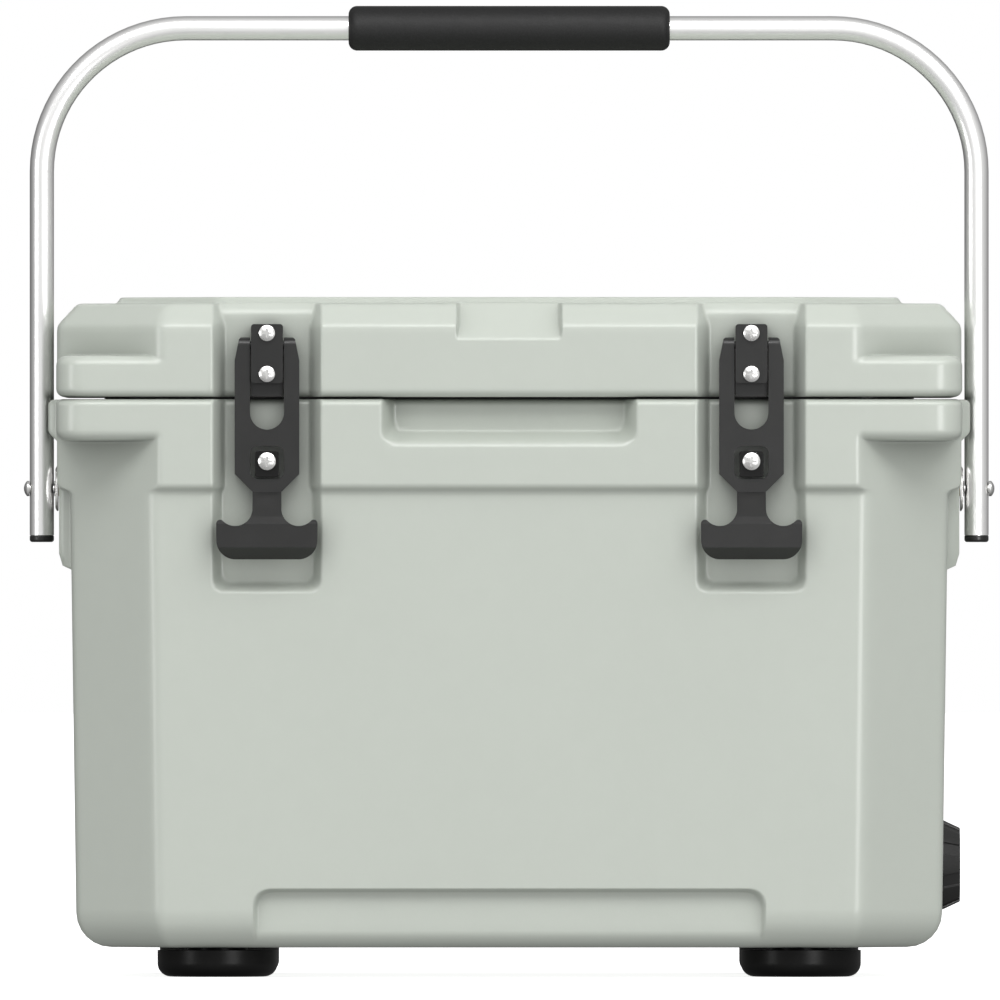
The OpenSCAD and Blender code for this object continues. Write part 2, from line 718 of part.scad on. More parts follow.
module foot(sx, sy) color(black_color) translate([sx * foot_x, sy * foot_y, 0]) difference() {
    union() {
        soft_disc(foot_d / 2, foot_height, foot_rounding);
        cylinder(d = neck_d, h = underside_height);
    }
    translate([0, 0, -over]) cylinder(d = screw_shank_d + 8, h = over + foot_recess);
    translate([0, 0, -over]) cylinder(d = screw_shank_d + 1 + 2 * seat_fit, h = 2 * over + underside_height);
}

module foot_front_left() foot(left, front);
module foot_front_right() foot(right, front);
module foot_rear_left() foot(left, back);
module foot_rear_right() foot(right, back);

module foot_screws() color(steel_color) at_feet() translate([0, 0, foot_recess]) rotate([90, 0, 0])
    pan_screw(screw_head_d + 1, screw_head_h, screw_shank_d + 1,
        underside_height - foot_recess + insert_length - 2);

// ---------- drain ----------

// Diameter of the plug's cone at x
function drain_cone(x) = drain_d - (drain_d - drain_face_d) * (x - drain_wall) / (drain_face_x - drain_wall);

module drain_fitting() color(black_color) translate([0, 0, drain_height]) difference() {
    barrel_in = tub_end - nut_t - 2;
    barrel_out = drain_wall + washer_t + flange_t / 2;
    union() {
        rod_x(flange_d, flange_t, drain_wall + washer_t + flange_t / 2);
        rod_x(barrel_d, barrel_out - barrel_in, (barrel_out + barrel_in) / 2);
    }
    rod_x(drain_bore_d + 2 * running_fit, cooler_length, half_length);
}

module drain_washer() color(black_color) translate([0, 0, drain_height]) difference() {
    rod_x(flange_d, washer_t, drain_wall + washer_t / 2);
    rod_x(barrel_d + 2 * seat_fit, 10, drain_wall);
}

module drain_nut() color(black_color) translate([0, 0, drain_height]) difference() {
    translate([tub_end - nut_t, 0, 0]) rotate([0, 90, 0]) cylinder(d = nut_d, h = nut_t, $fn = 8);
    rod_x(barrel_d + 2 * seat_fit, 30, tub_end);
}

// Ring that seals the plug's head on the flange; it travels with the plug and doesn't turn
module drain_seal() color(black_color) translate([0, 0, drain_height]) difference() {
    inner = plug_seat - 0.2;
    rod_x(seal_d, seal_t, inner + seal_t / 2);
    rod_x(drain_bore_d + 2 * running_fit, 20, inner);
}

// The plug's head is a fluted cone, a cup that hides the flange
module drain_plug() color(black_color) translate([0, 0, drain_height]) {
    lean = atan((drain_d - drain_face_d) / 2 / (drain_face_x - drain_wall));
    shank_in = tub_end + 8;
    difference() {
        translate([plug_rim, 0, 0]) rotate([0, 90, 0])
            cylinder(d1 = drain_cone(plug_rim), d2 = drain_face_d, h = drain_face_x - plug_rim);
        rod_x(cup_d, 2 * (plug_seat - plug_rim), plug_rim);
        rod_x(seal_d + 2 * free_gap, 2 * (seal_t + 0.2), plug_seat);
        for (i = [0 : plug_flutes - 1]) rotate([(i + 0.5) * 360 / plug_flutes, 0, 0])
            translate([plug_rim, 0, drain_cone(plug_rim) / 2]) rotate([0, lean, 0])
                translate([-flute_width, -flute_width / 2, -flute_depth])
                    cube([drain_d, flute_width, flute_width]);
    }
    rod_x(drain_bore_d, plug_seat + seal_t + 1 - shank_in, (plug_seat + seal_t + 1 + shank_in) / 2);
}

// ---------- hinge ----------

module hinge_rod() color(steel_color) translate([0, hinge_y, hinge_z]) rod_x(rod_d, 2 * rod_half);

module hinge_caps() color(black_color) for (side = [left, right]) translate([0, hinge_y, hinge_z])
    rod_x(rod_d + 4, 5, side * (rod_half + 2.55));

// ---------- lid ----------

// The lid above its lower edge, moved in by inset; the inner copy has sharp edges
module lid_block(inset) {
    function ring(z, e) = plan_ring(half_length - e, half_depth - e, lid_plane - e * sqrt(2),
        inset > 0 ? 0 : edge_rounding, z, inset > 0 ? 0 : 3);
    loft([ring(lid_bottom + (inset > 0 ? gasket_groove + inset : 0), inset),
        ring(lid_top - lid_bevel, inset), ring(lid_top - inset, lid_bevel + inset * 0.59)]);
}

module raised_panel() {
    slope = 2;
    plane = (panel_length + panel_width) / 2 - lid_corner_cut;
    function ring(z, e) = plan_ring(panel_length / 2 - e, panel_width / 2 - e, plane - e * sqrt(2),
        edge_rounding, z);
    loft([ring(lid_top - 1, 0), ring(lid_top, 0), ring(panel_top, slope)]);
}

// 45 degree cut in the lid's front edge
module lid_notch() {
    low = lid_top - notch_drop;
    intersection() {
        along_x(notch_length / 2) polygon([[-half_depth - over, low - over],
            [-half_depth + notch_drop + 2 * over, lid_top + 2 * over],
            [-half_depth - over, lid_top + 2 * over]]);
        along_y(-half_depth - over, 0) scoop_outline(notch_length / 2, 5, low, lid_top + 2 * over);
    }
}

module lid_foam_space(gap) {
    near = skin + gap;
    difference() {
        union() {
            lid_block(near);
            round_box(tub_length / 2 - plug_room - near, tub_width / 2 - plug_room - near,
                tub_corner - plug_room - near,
                lid_bottom - plug_depth + near, lid_bottom + gasket_groove + near + 1);
        }
        at_latches() translate([-channel_width / 2 - near, -half_depth, 0])
            cube([channel_width + 2 * near, channel_depth + near, 2 * lid_top]);
        translate([-notch_length / 2 - near, -half_depth, lid_top - notch_drop - near])
            cube([notch_length + 2 * near, notch_drop + near, notch_drop + 2 * near]);
        at_latches() for (z = bracket_screw_heights) translate([0, 0, z])
            rod_y(insert_d + 5 + 2 * gap, -half_depth, -channel_floor + insert_length + 3 + gap);
        translate([0, hinge_y, hinge_z]) rod_x(2 * (knuckle_r + free_gap + near), cooler_length);
    }
}

// The gasket's loop, with its outer edge pulled in by inset
module gasket_loop(inset, z0, z1) {
    half_x = tub_length / 2 + gasket_end_margin + gasket_width;
    half_y = tub_width / 2 + gasket_side_margin + gasket_width;
    width = gasket_width - inset;
    difference() {
        round_box(half_x - inset, half_y - inset, gasket_corner, z0, z1);
        round_box(half_x - width, half_y - width, gasket_corner - gasket_width, z0 - over, z1 + over);
    }
}

module lid_shell() color(shell_color) difference() {
    union() {
        lid_block(0);
        round_box(half_length, half_depth, block_rounding, lid_bottom, lid_bottom + lid_block_height);
        raised_panel();
        round_box(tub_length / 2 - plug_room, tub_width / 2 - plug_room, tub_corner - plug_room,
            lid_bottom - plug_depth, lid_bottom + 1);
        hinge_web(lid_knuckles, true);
    }
    lid_foam_space(0);
    at_latches() front_pocket(channel_width / 2, channel_taper, half_depth, channel_depth,
        channel_corner, channel_bottom, channel_foot, lid_top + panel_rise);
    at_latches() translate([0, -channel_floor, lid_top]) along_x(channel_width / 2 - channel_taper) polygon([
        [-over, -channel_break], [0, -channel_break], [channel_break + 2, 2], [-over, 2]]);
    lid_notch();
    gasket_loop(-seat_fit, lid_bottom - over, lid_bottom + gasket_groove);
    hinge_clearance(body_knuckles);
    hinge_bore(running_fit);
    at_latches() for (z = bracket_screw_heights) translate([0, 0, z])
        rod_y(insert_d + 2 * seat_fit, -half_depth, -channel_floor + insert_length);
}

module lid_foam() color(foam_color) lid_foam_space(foam_fit);

module lid_inserts() color(brass_color) at_latches() for (z = bracket_screw_heights)
    translate([0, -channel_floor, z]) insert_y(screw_shank_d);

module lid_gasket() color(black_color)
    gasket_loop(seat_fit, rim_height + gasket_lift, lid_bottom + gasket_groove);

// ---------- latches ----------

module latch_bracket(side) color(black_color) translate([side * latch_x, 0, 0]) difference() {
    translate([-bracket_width / 2, 0, 0]) {
        along_y(-bracket_front, -channel_floor) translate([0, bracket_top - bracket_height])
            round_plate(bracket_width, bracket_height, block_corner);
        along_y(-tongue_front, -channel_floor) translate([0, tongue_bottom])
            square([bracket_width, bracket_top - bracket_height / 2 - tongue_bottom]);
    }
    for (z = bracket_screw_heights) translate([0, 0, z]) rod_y(screw_shank_d + 2 * seat_fit, -half_depth, 0);
    translate([0, latch_pin_y, latch_pin_height]) rod_x(latch_pin_d + 2 * seat_fit, bracket_width + 2);
}

module latch_bracket_left() latch_bracket(left);
module latch_bracket_right() latch_bracket(right);

module bracket_screws(side) color(steel_color) for (z = bracket_screw_heights)
    translate([side * latch_x, -bracket_front, z])
        pan_screw(screw_head_d, screw_head_h, screw_shank_d, bracket_reach + insert_length - 2);

module bracket_screws_left() bracket_screws(left);
module bracket_screws_right() bracket_screws(right);

module latch_pin(side) color(steel_color) translate([side * latch_x, latch_pin_y, latch_pin_height])
    rod_x(latch_pin_d, strap_width - 2 * prong_taper);

module latch_pin_left() latch_pin(left);
module latch_pin_right() latch_pin(right);

// Front outline of the flat part of the strap, as [x, z]
module strap_outline() {
    half = strap_width / 2;
    tip = latch_pin_height + strap_thickness / 2;
    tip_half = half - prong_taper;
    difference() {
        polygon([[-stem_width / 2, strap_bottom - 1], [stem_width / 2, strap_bottom - 1],
            [stem_width / 2, strap_bottom], [half, strap_bottom + shoulder],
            [half, tip - prong_taper_height], [tip_half, tip - 1], [tip_half - 1, tip],
            [1 - tip_half, tip], [-tip_half, tip - 1], [-half, tip - prong_taper_height],
            [-half, strap_bottom + shoulder], [-stem_width / 2, strap_bottom]]);
        translate([-slot_width / 2, slot_end]) square([slot_width, tip]);
        translate([0, slot_end]) circle(d = slot_width);
        translate([-slot_width / 2, hook_hole_bottom])
            round_plate(slot_width, hook_hole_height, hook_hole_rounding);
    }
}

// Front outline of the stem and of the T-shaped bar, as [x, z]
module pull_outline() {
    half = pull_bar_length / 2;
    corner_x = half - pull_bar_corner;
    low = pull_bar_bottom - pull_bar_lip;
    hollow_x = stem_width / 2 + hollow_r;
    hollow_z = pull_bar_bottom + pull_bar_height - pull_bar_scoop + hollow_r;
    horn_x = half - horn_r;
    // the hollow's circle just meets the horn's
    horn_z = hollow_z - sqrt(pow(hollow_r + horn_r - 0.1, 2) - pow(horn_x - hollow_x, 2));
    difference() {
        union() {
            translate([-stem_width / 2, low]) square([stem_width, strap_bottom - low]);
            translate([-half, low + pull_bar_corner]) square([2 * half, horn_z - low - pull_bar_corner]);
            translate([-corner_x, low]) square([2 * corner_x, pull_bar_corner + 1]);
            for (side = [-1, 1]) {
                translate([side * corner_x, low + pull_bar_corner]) circle(pull_bar_corner);
                translate([side * horn_x, horn_z]) circle(horn_r);
                polygon([[0, horn_z - 1], [0, hollow_z], [side * hollow_x, hollow_z],
                    [side * horn_x, horn_z], [side * hollow_x, horn_z - 1]]);
            }
        }
        for (side = [-1, 1]) translate([side * hollow_x, hollow_z]) circle(hollow_r);
    }
}

module latch_strap(side) color(black_color) translate([side * latch_x, 0, 0]) difference() {
    bar_top = pull_bar_bottom + pull_bar_height - pull_bar_crown;
    union() {
        intersection() {
            along_y(-strap_front, -strap_back) strap_outline();
            union() {
                translate([-strap_width, -strap_front - over, 0])
                    cube([2 * strap_width, strap_thickness + 2 * over, latch_pin_height]);
                translate([0, latch_pin_y, latch_pin_height]) rod_x(strap_thickness, strap_width + 2);
            }
        }
        intersection() {
            along_y(-pull_bar_front - over, 0) pull_outline();
            along_x(pull_bar_length / 2 + over) polygon([
                [-strap_back, strap_bottom], [-strap_front, strap_bottom],
                [-pull_bar_front + 3, bar_top + 4], [-pull_bar_front, bar_top],
                [-pull_bar_front, pull_bar_bottom], [-pull_bar_back, pull_bar_bottom - pull_bar_lip],
                [-pull_bar_back, bar_top - 2], [-strap_back, strap_bottom - 3]]);
        }
    }
    translate([0, latch_pin_y, latch_pin_height]) rod_x(latch_pin_d + 2 * running_fit, strap_width + 2);
}

module latch_strap_left() latch_strap(left);
module latch_strap_right() latch_strap(right);

// ---------- bail ----------

// The bail's path as a solid of one radius
module bail_path(r) {
    flat = arm_x - bend_radius;
    translate([0, 0, bar_height]) rod_x(2 * r, 2 * flat);
    at_ends() {
        translate([arm_x, 0, arm_end]) cylinder(r = r, h = bar_height - bend_radius - arm_end);
        translate([flat, 0, bar_height - bend_radius]) rotate([90, 0, 0])
            rotate_extrude(angle = 90) translate([bend_radius, 0]) circle(r);
    }
}

module handle_tube() color(steel_color) difference() {
    bail_path(tube_r);
    bail_path(tube_r - tube_wall);
    at_ends() translate([arm_x, 0, arm_end - over]) cylinder(r = tube_r - tube_wall, h = 2 * over);
    at_ends() translate([arm_x, 0, pivot_height]) rod_x(pivot_bolt_d + 2 * running_fit, tube_d + 2);
}

module handle_grip() color(black_color) translate([0, 0, bar_height]) rotate([0, 90, 0]) difference() {
    round_end = 4.5;
    translate([0, 0, -grip_length / 2]) rotate_extrude() {
        square([grip_d / 2 - round_end, grip_length]);
        translate([0, round_end]) square([grip_d / 2, grip_length - 2 * round_end]);
        for (z = [round_end, grip_length - round_end])
            translate([grip_d / 2 - round_end, z]) circle(round_end);
    }
    cylinder(d = tube_d + 2 * seat_fit, h = grip_length + 2, center = true);
}

module handle_cap() color(black_color) translate([arm_x, 0, arm_end]) {
    translate([0, 0, -cap_t]) soft_disc(tube_r, cap_t, cap_rounding);
    translate([0, 0, -0.01]) cylinder(r = tube_r - tube_wall - seat_fit, h = 9);
}

module handle_cap_right() handle_cap();
module handle_cap_left() mirror([1, 0, 0]) handle_cap();

// ---------- the nodes ----------

body_shell();
body_foam();
body_inserts();
keeper_left();
keeper_right();
keeper_screws();
pivot_plate_left();
pivot_plate_right();
pivot_spacer_left();
pivot_spacer_right();
pivot_bolt_left();
pivot_bolt_right();
drain_fitting();
drain_nut();
drain_washer();
foot_front_left();
foot_front_right();
foot_rear_left();
foot_rear_right();
foot_screws();
hinge_rod();
hinge_caps();
lid_shell();
lid_foam();
lid_inserts();
lid_gasket();
latch_bracket_left();
latch_bracket_right();
bracket_screws_left();
bracket_screws_right();
latch_pin_left();
latch_pin_right();
latch_strap_left();
latch_strap_right();
handle_tube();
handle_grip();
handle_cap_left();
handle_cap_right();
drain_seal();
drain_plug();
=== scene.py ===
import math
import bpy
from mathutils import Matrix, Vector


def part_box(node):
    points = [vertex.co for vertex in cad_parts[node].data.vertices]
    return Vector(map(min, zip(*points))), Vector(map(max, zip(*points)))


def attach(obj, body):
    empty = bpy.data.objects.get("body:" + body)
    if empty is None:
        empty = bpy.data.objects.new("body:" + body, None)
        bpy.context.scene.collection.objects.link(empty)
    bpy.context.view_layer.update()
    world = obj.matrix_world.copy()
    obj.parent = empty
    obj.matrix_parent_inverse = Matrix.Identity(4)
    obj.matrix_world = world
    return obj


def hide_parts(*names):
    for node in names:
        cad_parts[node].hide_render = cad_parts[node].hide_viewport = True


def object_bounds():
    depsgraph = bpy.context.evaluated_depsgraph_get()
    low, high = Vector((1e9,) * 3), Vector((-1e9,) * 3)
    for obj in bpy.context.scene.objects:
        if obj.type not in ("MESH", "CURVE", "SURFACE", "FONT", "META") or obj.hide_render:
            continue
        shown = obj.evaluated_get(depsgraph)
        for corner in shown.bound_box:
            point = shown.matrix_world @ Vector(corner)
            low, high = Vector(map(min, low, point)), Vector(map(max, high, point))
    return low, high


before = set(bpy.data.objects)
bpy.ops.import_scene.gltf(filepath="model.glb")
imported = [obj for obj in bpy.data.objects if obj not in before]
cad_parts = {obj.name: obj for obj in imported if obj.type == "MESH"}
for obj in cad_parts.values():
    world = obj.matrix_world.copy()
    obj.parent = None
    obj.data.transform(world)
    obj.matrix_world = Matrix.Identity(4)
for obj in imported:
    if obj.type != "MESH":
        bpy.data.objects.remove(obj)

from types import SimpleNamespace

import bmesh
import bpy
from bpy.props import FloatProperty, FloatVectorProperty, PointerProperty
from mathutils import Vector

bl_info = {
    "name": "Hard cooler with swing bail",
    "version": (1, 0, 0),
    "blender": (4, 5, 0),
    "location": "View3D > Sidebar > Cooler",
    "description": "Builds and finishes a hard-sided cooler round its packed solids",
    "category": "Object",
}

CAD_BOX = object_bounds()
MM = 0.001


def node_box(node):
    """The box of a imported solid, in millimetres."""
    low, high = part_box(node)
    return SimpleNamespace(
        x0=low.x / MM, y0=low.y / MM, z0=low.z / MM,
        x1=high.x / MM, y1=high.y / MM, z1=high.z / MM)


LID_BOX = node_box("lid_shell")
BODY_BOX = node_box("body_shell")
GASKET_BOX = node_box("lid_gasket")
ROD_BOX = node_box("hinge_rod")
FLANGE_BOX = node_box("drain_fitting")
PLATE_BOX = node_box("pivot_plate_right")
STRAP_BOX = node_box("latch_strap_right")

HALF_LENGTH = LID_BOX.x1
HALF_DEPTH = -LID_BOX.y0
HINGE_Y = (ROD_BOX.y0 + ROD_BOX.y1) / 2
HINGE_Z = (ROD_BOX.z0 + ROD_BOX.z1) / 2
KNUCKLE_R = BODY_BOX.y1 - HINGE_Y
PIVOT_Z = (PLATE_BOX.z0 + PLATE_BOX.z1) / 2
DRAIN_Z = (FLANGE_BOX.z0 + FLANGE_BOX.z1) / 2
LATCH_X = (STRAP_BOX.x0 + STRAP_BOX.x1) / 2

TUBE_RADIUS = 6.35      # half of the bail's half-inch tube
TUBE_BEND = 75          # radius of its bends, to the tube's middle
BLOCK_ROUNDING = 14     # rounding of the square corner blocks, seen from above


# ---------- sizes and colours that a user would change ----------

def length(name, value, text):
    return FloatProperty(name=name, description=text, default=value * MM, min=0.0,
                         precision=4, subtype="DISTANCE", unit="LENGTH")


def colour(name, value, text):
    return FloatVectorProperty(name=name, description=text, default=value, size=3,
                               min=0.0, max=1.0, subtype="COLOR")


class CoolerBodySizes(bpy.types.PropertyGroup):
    rim_height: length("Rim height", GASKET_BOX.z0 - 0.3, "Height of the body's rim")
    belt_height: length("Belt height", 45.8, "Height of the raised belt")
    belt_step_end: length("Belt step, ends", 7, "How far the belt stands out from the end walls")
    belt_step_front: length("Belt step, front", 4, "How far the belt stands out at the front")
    corner_cut: length("Corner face", 42.7, "Length cut from each wall at the corners")
    edge_rounding: length("Edge rounding", 11, "Rounding between walls and corner faces")
    belt_edge: length("Belt edge", 4.5, "Rounding of the belt's edges at the corner faces")
    base_rounding: length("Base rounding", 18, "Rounding where the walls meet the underside")
    block_height: length("Block height", 21.3, "Height of the square corner blocks")
    block_rounding: length("Block rounding", BLOCK_ROUNDING,
                           "Rounding of the square corner blocks")
    block_edge: length("Block edge", 5.3, "Rounding of the corner blocks' lower edge")
    rim_rounding: length("Rim rounding", 3.4, "Rounding of the rim's outer edge")
    recess_depth: length("Recess depth", 5, "Depth of the recess at the foot of the front")
    recess_length: length("Recess length", 266, "Length of that recess")
    recess_height: length("Recess height", 30.6, "Height of its upper edge above the underside")
    channel_width: length("Channel width", 56, "Width of a latch channel at its mouth")
    channel_depth: length("Channel depth", 14, "Depth of a latch channel")
    channel_drop: length("Channel drop", 101.8, "How far a channel runs down below the rim")
    pocket_length: length("Pocket length", 132.6, "Length of the finger pocket")
    pocket_depth: length("Pocket depth", 13, "Depth of the finger pocket")
    pocket_height: length("Pocket height", 22.8, "Height of the finger pocket")
    tub_length: length("Tub length", 376, "Length of the tub's mouth")
    tub_width: length("Tub width", 200, "Width of the tub's mouth")
    floor_thickness: length("Floor thickness", 28.7, "From the underside to the tub's floor")


class CoolerLidSizes(bpy.types.PropertyGroup):
    lid_height: length("Lid height", 48.8, "Height of the lid's side")
    corner_cut: length("Corner face", 53.7, "Length cut from each side at the corners")
    bevel: length("Bevel", 10.4, "Width of the sloped band round the top")
    block_height: length("Block height", 21.4, "Height of the square corner blocks")
    block_edge: length("Block edge", 5.2, "Rounding of the corner blocks' upper edge")
    lower_rounding: length("Lower rounding", 4.2, "Rounding of the lid's lower edge")
    panel_length: length("Panel length", 410, "Length of the raised panel")
    panel_width: length("Panel width", 220, "Width of the raised panel")
    notch_length: length("Notch length", 54.6, "Length of the sloped notch in the front edge")
    notch_drop: length("Notch drop", 18.4, "Depth of the notch below the lid's top")


class CoolerColours(bpy.types.PropertyGroup):
    shell: colour("Shell", (0.585, 0.625, 0.565), "Moulded shell")
    black: colour("Black parts", (0.011, 0.011, 0.0105), "Latches, feet and drain")
    grip: colour("Grip", (0.008, 0.008, 0.008), "Foam grip")
    steel: colour("Steel", (0.93, 0.925, 0.91), "Bail and screws")
    floor: colour("Floor", (0.90, 0.90, 0.90), "Studio floor")


def in_mm(group):
    """The sizes of a group in millimetres."""
    return SimpleNamespace(**{key: getattr(group, key) / MM for key in group.__annotations__})


# ---------- finishes ----------

class Wire:
    """One output of a shader node. Arithmetic on it adds Math nodes to the same tree."""

    def __init__(self, nodes, socket):
        self.nodes, self.socket = nodes, socket

    def __add__(self, other):
        return self.nodes.math("ADD", self, other)

    def __sub__(self, other):
        return self.nodes.math("SUBTRACT", self, other)

    def __rsub__(self, other):
        return self.nodes.math("SUBTRACT", other, self)

    def __mul__(self, other):
        return self.nodes.math("MULTIPLY", self, other)

    __radd__, __rmul__ = __add__, __mul__


class Nodes:
    """The node tree of a material or a world."""

    def __init__(self, owner):
        owner.use_nodes = True
        self.tree = owner.node_tree
        self.tree.nodes.clear()

    def node(self, kind, settings=None, sockets=None, out=0):
        """A new node's output; a socket given a wire is linked to it, any other is set."""
        made = self.tree.nodes.new(kind)
        for key, value in (settings or {}).items():
            setattr(made, key, value)
        for key, value in (sockets or {}).items():
            if isinstance(value, Wire):
                self.tree.links.new(value.socket, made.inputs[key])
            else:
                made.inputs[key].default_value = value
        return Wire(self, made.outputs[out]) if made.outputs else None

    def math(self, operation, *values):
        return self.node("ShaderNodeMath", {"operation": operation}, dict(enumerate(values)))


class Finish(Nodes):
    """A material built from nodes on Object coordinates."""

    def __init__(self, name):
        self.material = bpy.data.materials.new(name)
        super().__init__(self.material)
        self.place = self.node("ShaderNodeTexCoord", out="Object")

    def noise(self, scale, detail, vector=None):
        return self.node("ShaderNodeTexNoise", sockets={
            "Vector": vector or self.place, "Scale": scale, "Detail": detail, "Roughness": 0.55})

    def cells(self, scale):
        return self.node("ShaderNodeTexVoronoi", {"feature": "F1"},
                         {"Vector": self.place, "Scale": scale, "Randomness": 1.0})

    def blend(self, amount, first, second):
        """From the first colour at 0 to the second at 1."""
        shades = [shade if isinstance(shade, Wire) else (*shade, 1) for shade in (first, second)]
        return self.node("ShaderNodeMix", {"data_type": "RGBA"},
                         {0: amount, 6: shades[0], 7: shades[1]}, out=2)

    def open_air(self, reach):
        """1 where nothing stands within reach, less in a corner or a crevice; it is the mask for
        painted shade.
        """
        return self.node("ShaderNodeAmbientOcclusion", {"samples": 6},
                         {"Distance": reach}, out="AO")

    def bump(self, height, strength, depth):
        return self.node("ShaderNodeBump", sockets={
            "Height": height, "Strength": strength, "Distance": depth})

    def surface(self, **sockets):
        names = {key.replace("_", " "): value for key, value in sockets.items()}
        shader = self.node("ShaderNodeBsdfPrincipled", sockets=names)
        self.node("ShaderNodeOutputMaterial", sockets={"Surface": shader})
        return self.material


def tint(shade, by):
    return tuple(min(1.0, part * by) for part in shade)


# how far a crevice's shade reaches out, in metres
SHELL_CREVICE = 0.017
BLACK_CREVICE = 0.007


def moulded_shell(shade):
    """Pale plastic with faint clouding and an orange-peel skin, with shade painted into its
    corners and crevices.
    """
    finish = Finish("moulded_shell")
    cloudy = finish.noise(11, 3)
    mottle = finish.noise(95, 4)
    speck = finish.noise(1400, 2)
    mix = cloudy * 0.5 + mottle * 0.3 + speck * 0.2
    unshaded = finish.blend(mix, tint(shade, 0.955), tint(shade, 1.045))
    # painted shade: in corners and crevices the base colour turns to this much darker copy
    painted_shade = finish.blend(mix, tint(shade, 0.40), tint(shade, 0.46))
    base = finish.blend(finish.open_air(SHELL_CREVICE), painted_shade, unshaded)
    peel = finish.noise(330, 2)
    ripple = finish.noise(70, 1)
    height = peel * 0.55 + ripple * 0.8 + speck * 0.12
    return finish.surface(
        Base_Color=base, Roughness=mottle * 0.08 + speck * 0.05 + 0.25,
        Normal=finish.bump(height, 0.22, 0.00022), Specular_IOR_Level=0.5)


def moulded_black(shade):
    """Satin black plastic with a fine grain, and shade painted into its crevices."""
    finish = Finish("moulded_black")
    grain = finish.noise(2100, 3)
    patch = finish.noise(120, 3)
    base = finish.blend(patch * 0.6 + grain * 0.4, tint(shade, 0.78), tint(shade, 1.3))
    # painted shade: crevices turn to a near-black copy of the colour
    base = finish.blend(finish.open_air(BLACK_CREVICE), tint(shade, 0.1), base)
    return finish.surface(
        Base_Color=base, Roughness=patch * 0.10 + grain * 0.06 + 0.26,
        Normal=finish.bump(grain, 0.35, 0.00008), Specular_IOR_Level=0.42)


def soft_rubber(shade, name="soft_rubber", gloss=0.45):
    """Black rubber with a faint bloom, and shade painted into its crevices."""
    finish = Finish(name)
    grain = finish.noise(1500, 3)
    patch = finish.noise(60, 4)
    bloom = finish.noise(320, 3)
    base = finish.blend(patch * 0.5 + bloom * 0.5, tint(shade, 0.8), tint(shade, 1.45))
    # painted shade: crevices turn to a near-black copy of the colour
    base = finish.blend(finish.open_air(BLACK_CREVICE), tint(shade, 0.1), base)
    return finish.surface(
        Base_Color=base, Roughness=patch * 0.12 + grain * 0.06 + 0.25,
        Normal=finish.bump(grain * 0.7 + bloom * 0.4, 0.3, 0.0001), Specular_IOR_Level=gloss)


def foam_grip(shade):
    """Closed-cell foam with tiny open cells in its skin."""
    finish = Finish("foam_grip")
    cells = finish.cells(1150)
    dents = finish.noise(160, 3)
    base = finish.blend(cells, tint(shade, 0.7), tint(shade, 1.7))
    return finish.surface(
        Base_Color=base, Roughness=dents * 0.12 + 0.50,
        Normal=finish.bump(cells * 0.7 + dents * 0.6, 0.35, 0.00016), Specular_IOR_Level=0.3)


def brushed_tube(shade, bend, bar_z, arm_x):
    """Satin steel whose fine lines follow the bail's tube round its bends."""
    finish = Finish("brushed_tube")
    x, y, z = (finish.node("ShaderNodeSeparateXYZ", sockets={"Vector": finish.place}, out=axis)
               for axis in range(3))
    # out and up are measured from a bend's centre; past it they wind round the bend
    out = finish.math("ABSOLUTE", x) - (arm_x - bend)
    up = z - (bar_z - bend)
    out_past = finish.math("MAXIMUM", out, 0.0)
    up_past = finish.math("MAXIMUM", up, 0.0)
    turn = finish.math("ARCTAN2", out_past, up_past)
    run = turn * bend + finish.math("MINIMUM", out, 0.0) - finish.math("MINIMUM", up, 0.0)
    off = finish.math("SQRT", out_past * out_past + up_past * up_past) - bend

    def lines(along, across, detail):
        stretched = finish.node("ShaderNodeCombineXYZ", sockets={
            0: run * along, 1: off * across, 2: y * across})
        return finish.noise(1.0, detail, vector=stretched)

    brush = lines(12, 1500, 3)
    streak = lines(9, 160, 2)
    smudge = finish.noise(26, 3)
    base = finish.blend(brush * 0.55 + streak * 0.45, tint(shade, 0.86), tint(shade, 1.1))
    return finish.surface(
        Base_Color=base, Metallic=1.0,
        Roughness=brush * 0.14 + smudge * 0.07 + 0.20,
        Normal=finish.bump(brush, 0.22, 0.00003))


def turned_steel(shade):
    """Bright steel of screws, bolts and plates."""
    finish = Finish("turned_steel")
    fine = finish.noise(1900, 2)
    patch = finish.noise(240, 3)
    base = finish.blend(patch, tint(shade, 0.55), tint(shade, 0.85))
    return finish.surface(
        Base_Color=base, Metallic=1.0, Roughness=patch * 0.10 + fine * 0.06 + 0.20,
        Normal=finish.bump(fine, 0.15, 0.00004))


def cast_foam():
    """Yellowish insulation foam."""
    finish = Finish("cast_foam")
    cells = finish.cells(620)
    flow = finish.noise(34, 4)
    base = finish.blend(flow, (0.72, 0.62, 0.38), (0.86, 0.78, 0.55))
    return finish.surface(Base_Color=base, Roughness=cells * 0.2 + 0.75,
                          Normal=finish.bump(cells, 0.6, 0.0005))


def cut_brass():
    """Knurled brass of the threaded inserts."""
    finish = Finish("cut_brass")
    knurl = finish.node("ShaderNodeTexWave", {"wave_type": "BANDS", "bands_direction": "DIAGONAL"},
                        {"Vector": finish.place, "Scale": 260, "Distortion": 0.4}, out="Fac")
    tarnish = finish.noise(180, 3)
    base = finish.blend(tarnish, (0.60, 0.42, 0.16), (0.80, 0.62, 0.30))
    return finish.surface(Base_Color=base, Metallic=1.0, Roughness=tarnish * 0.2 + 0.25,
                          Normal=finish.bump(knurl, 0.4, 0.0003))


FINISHES = {}


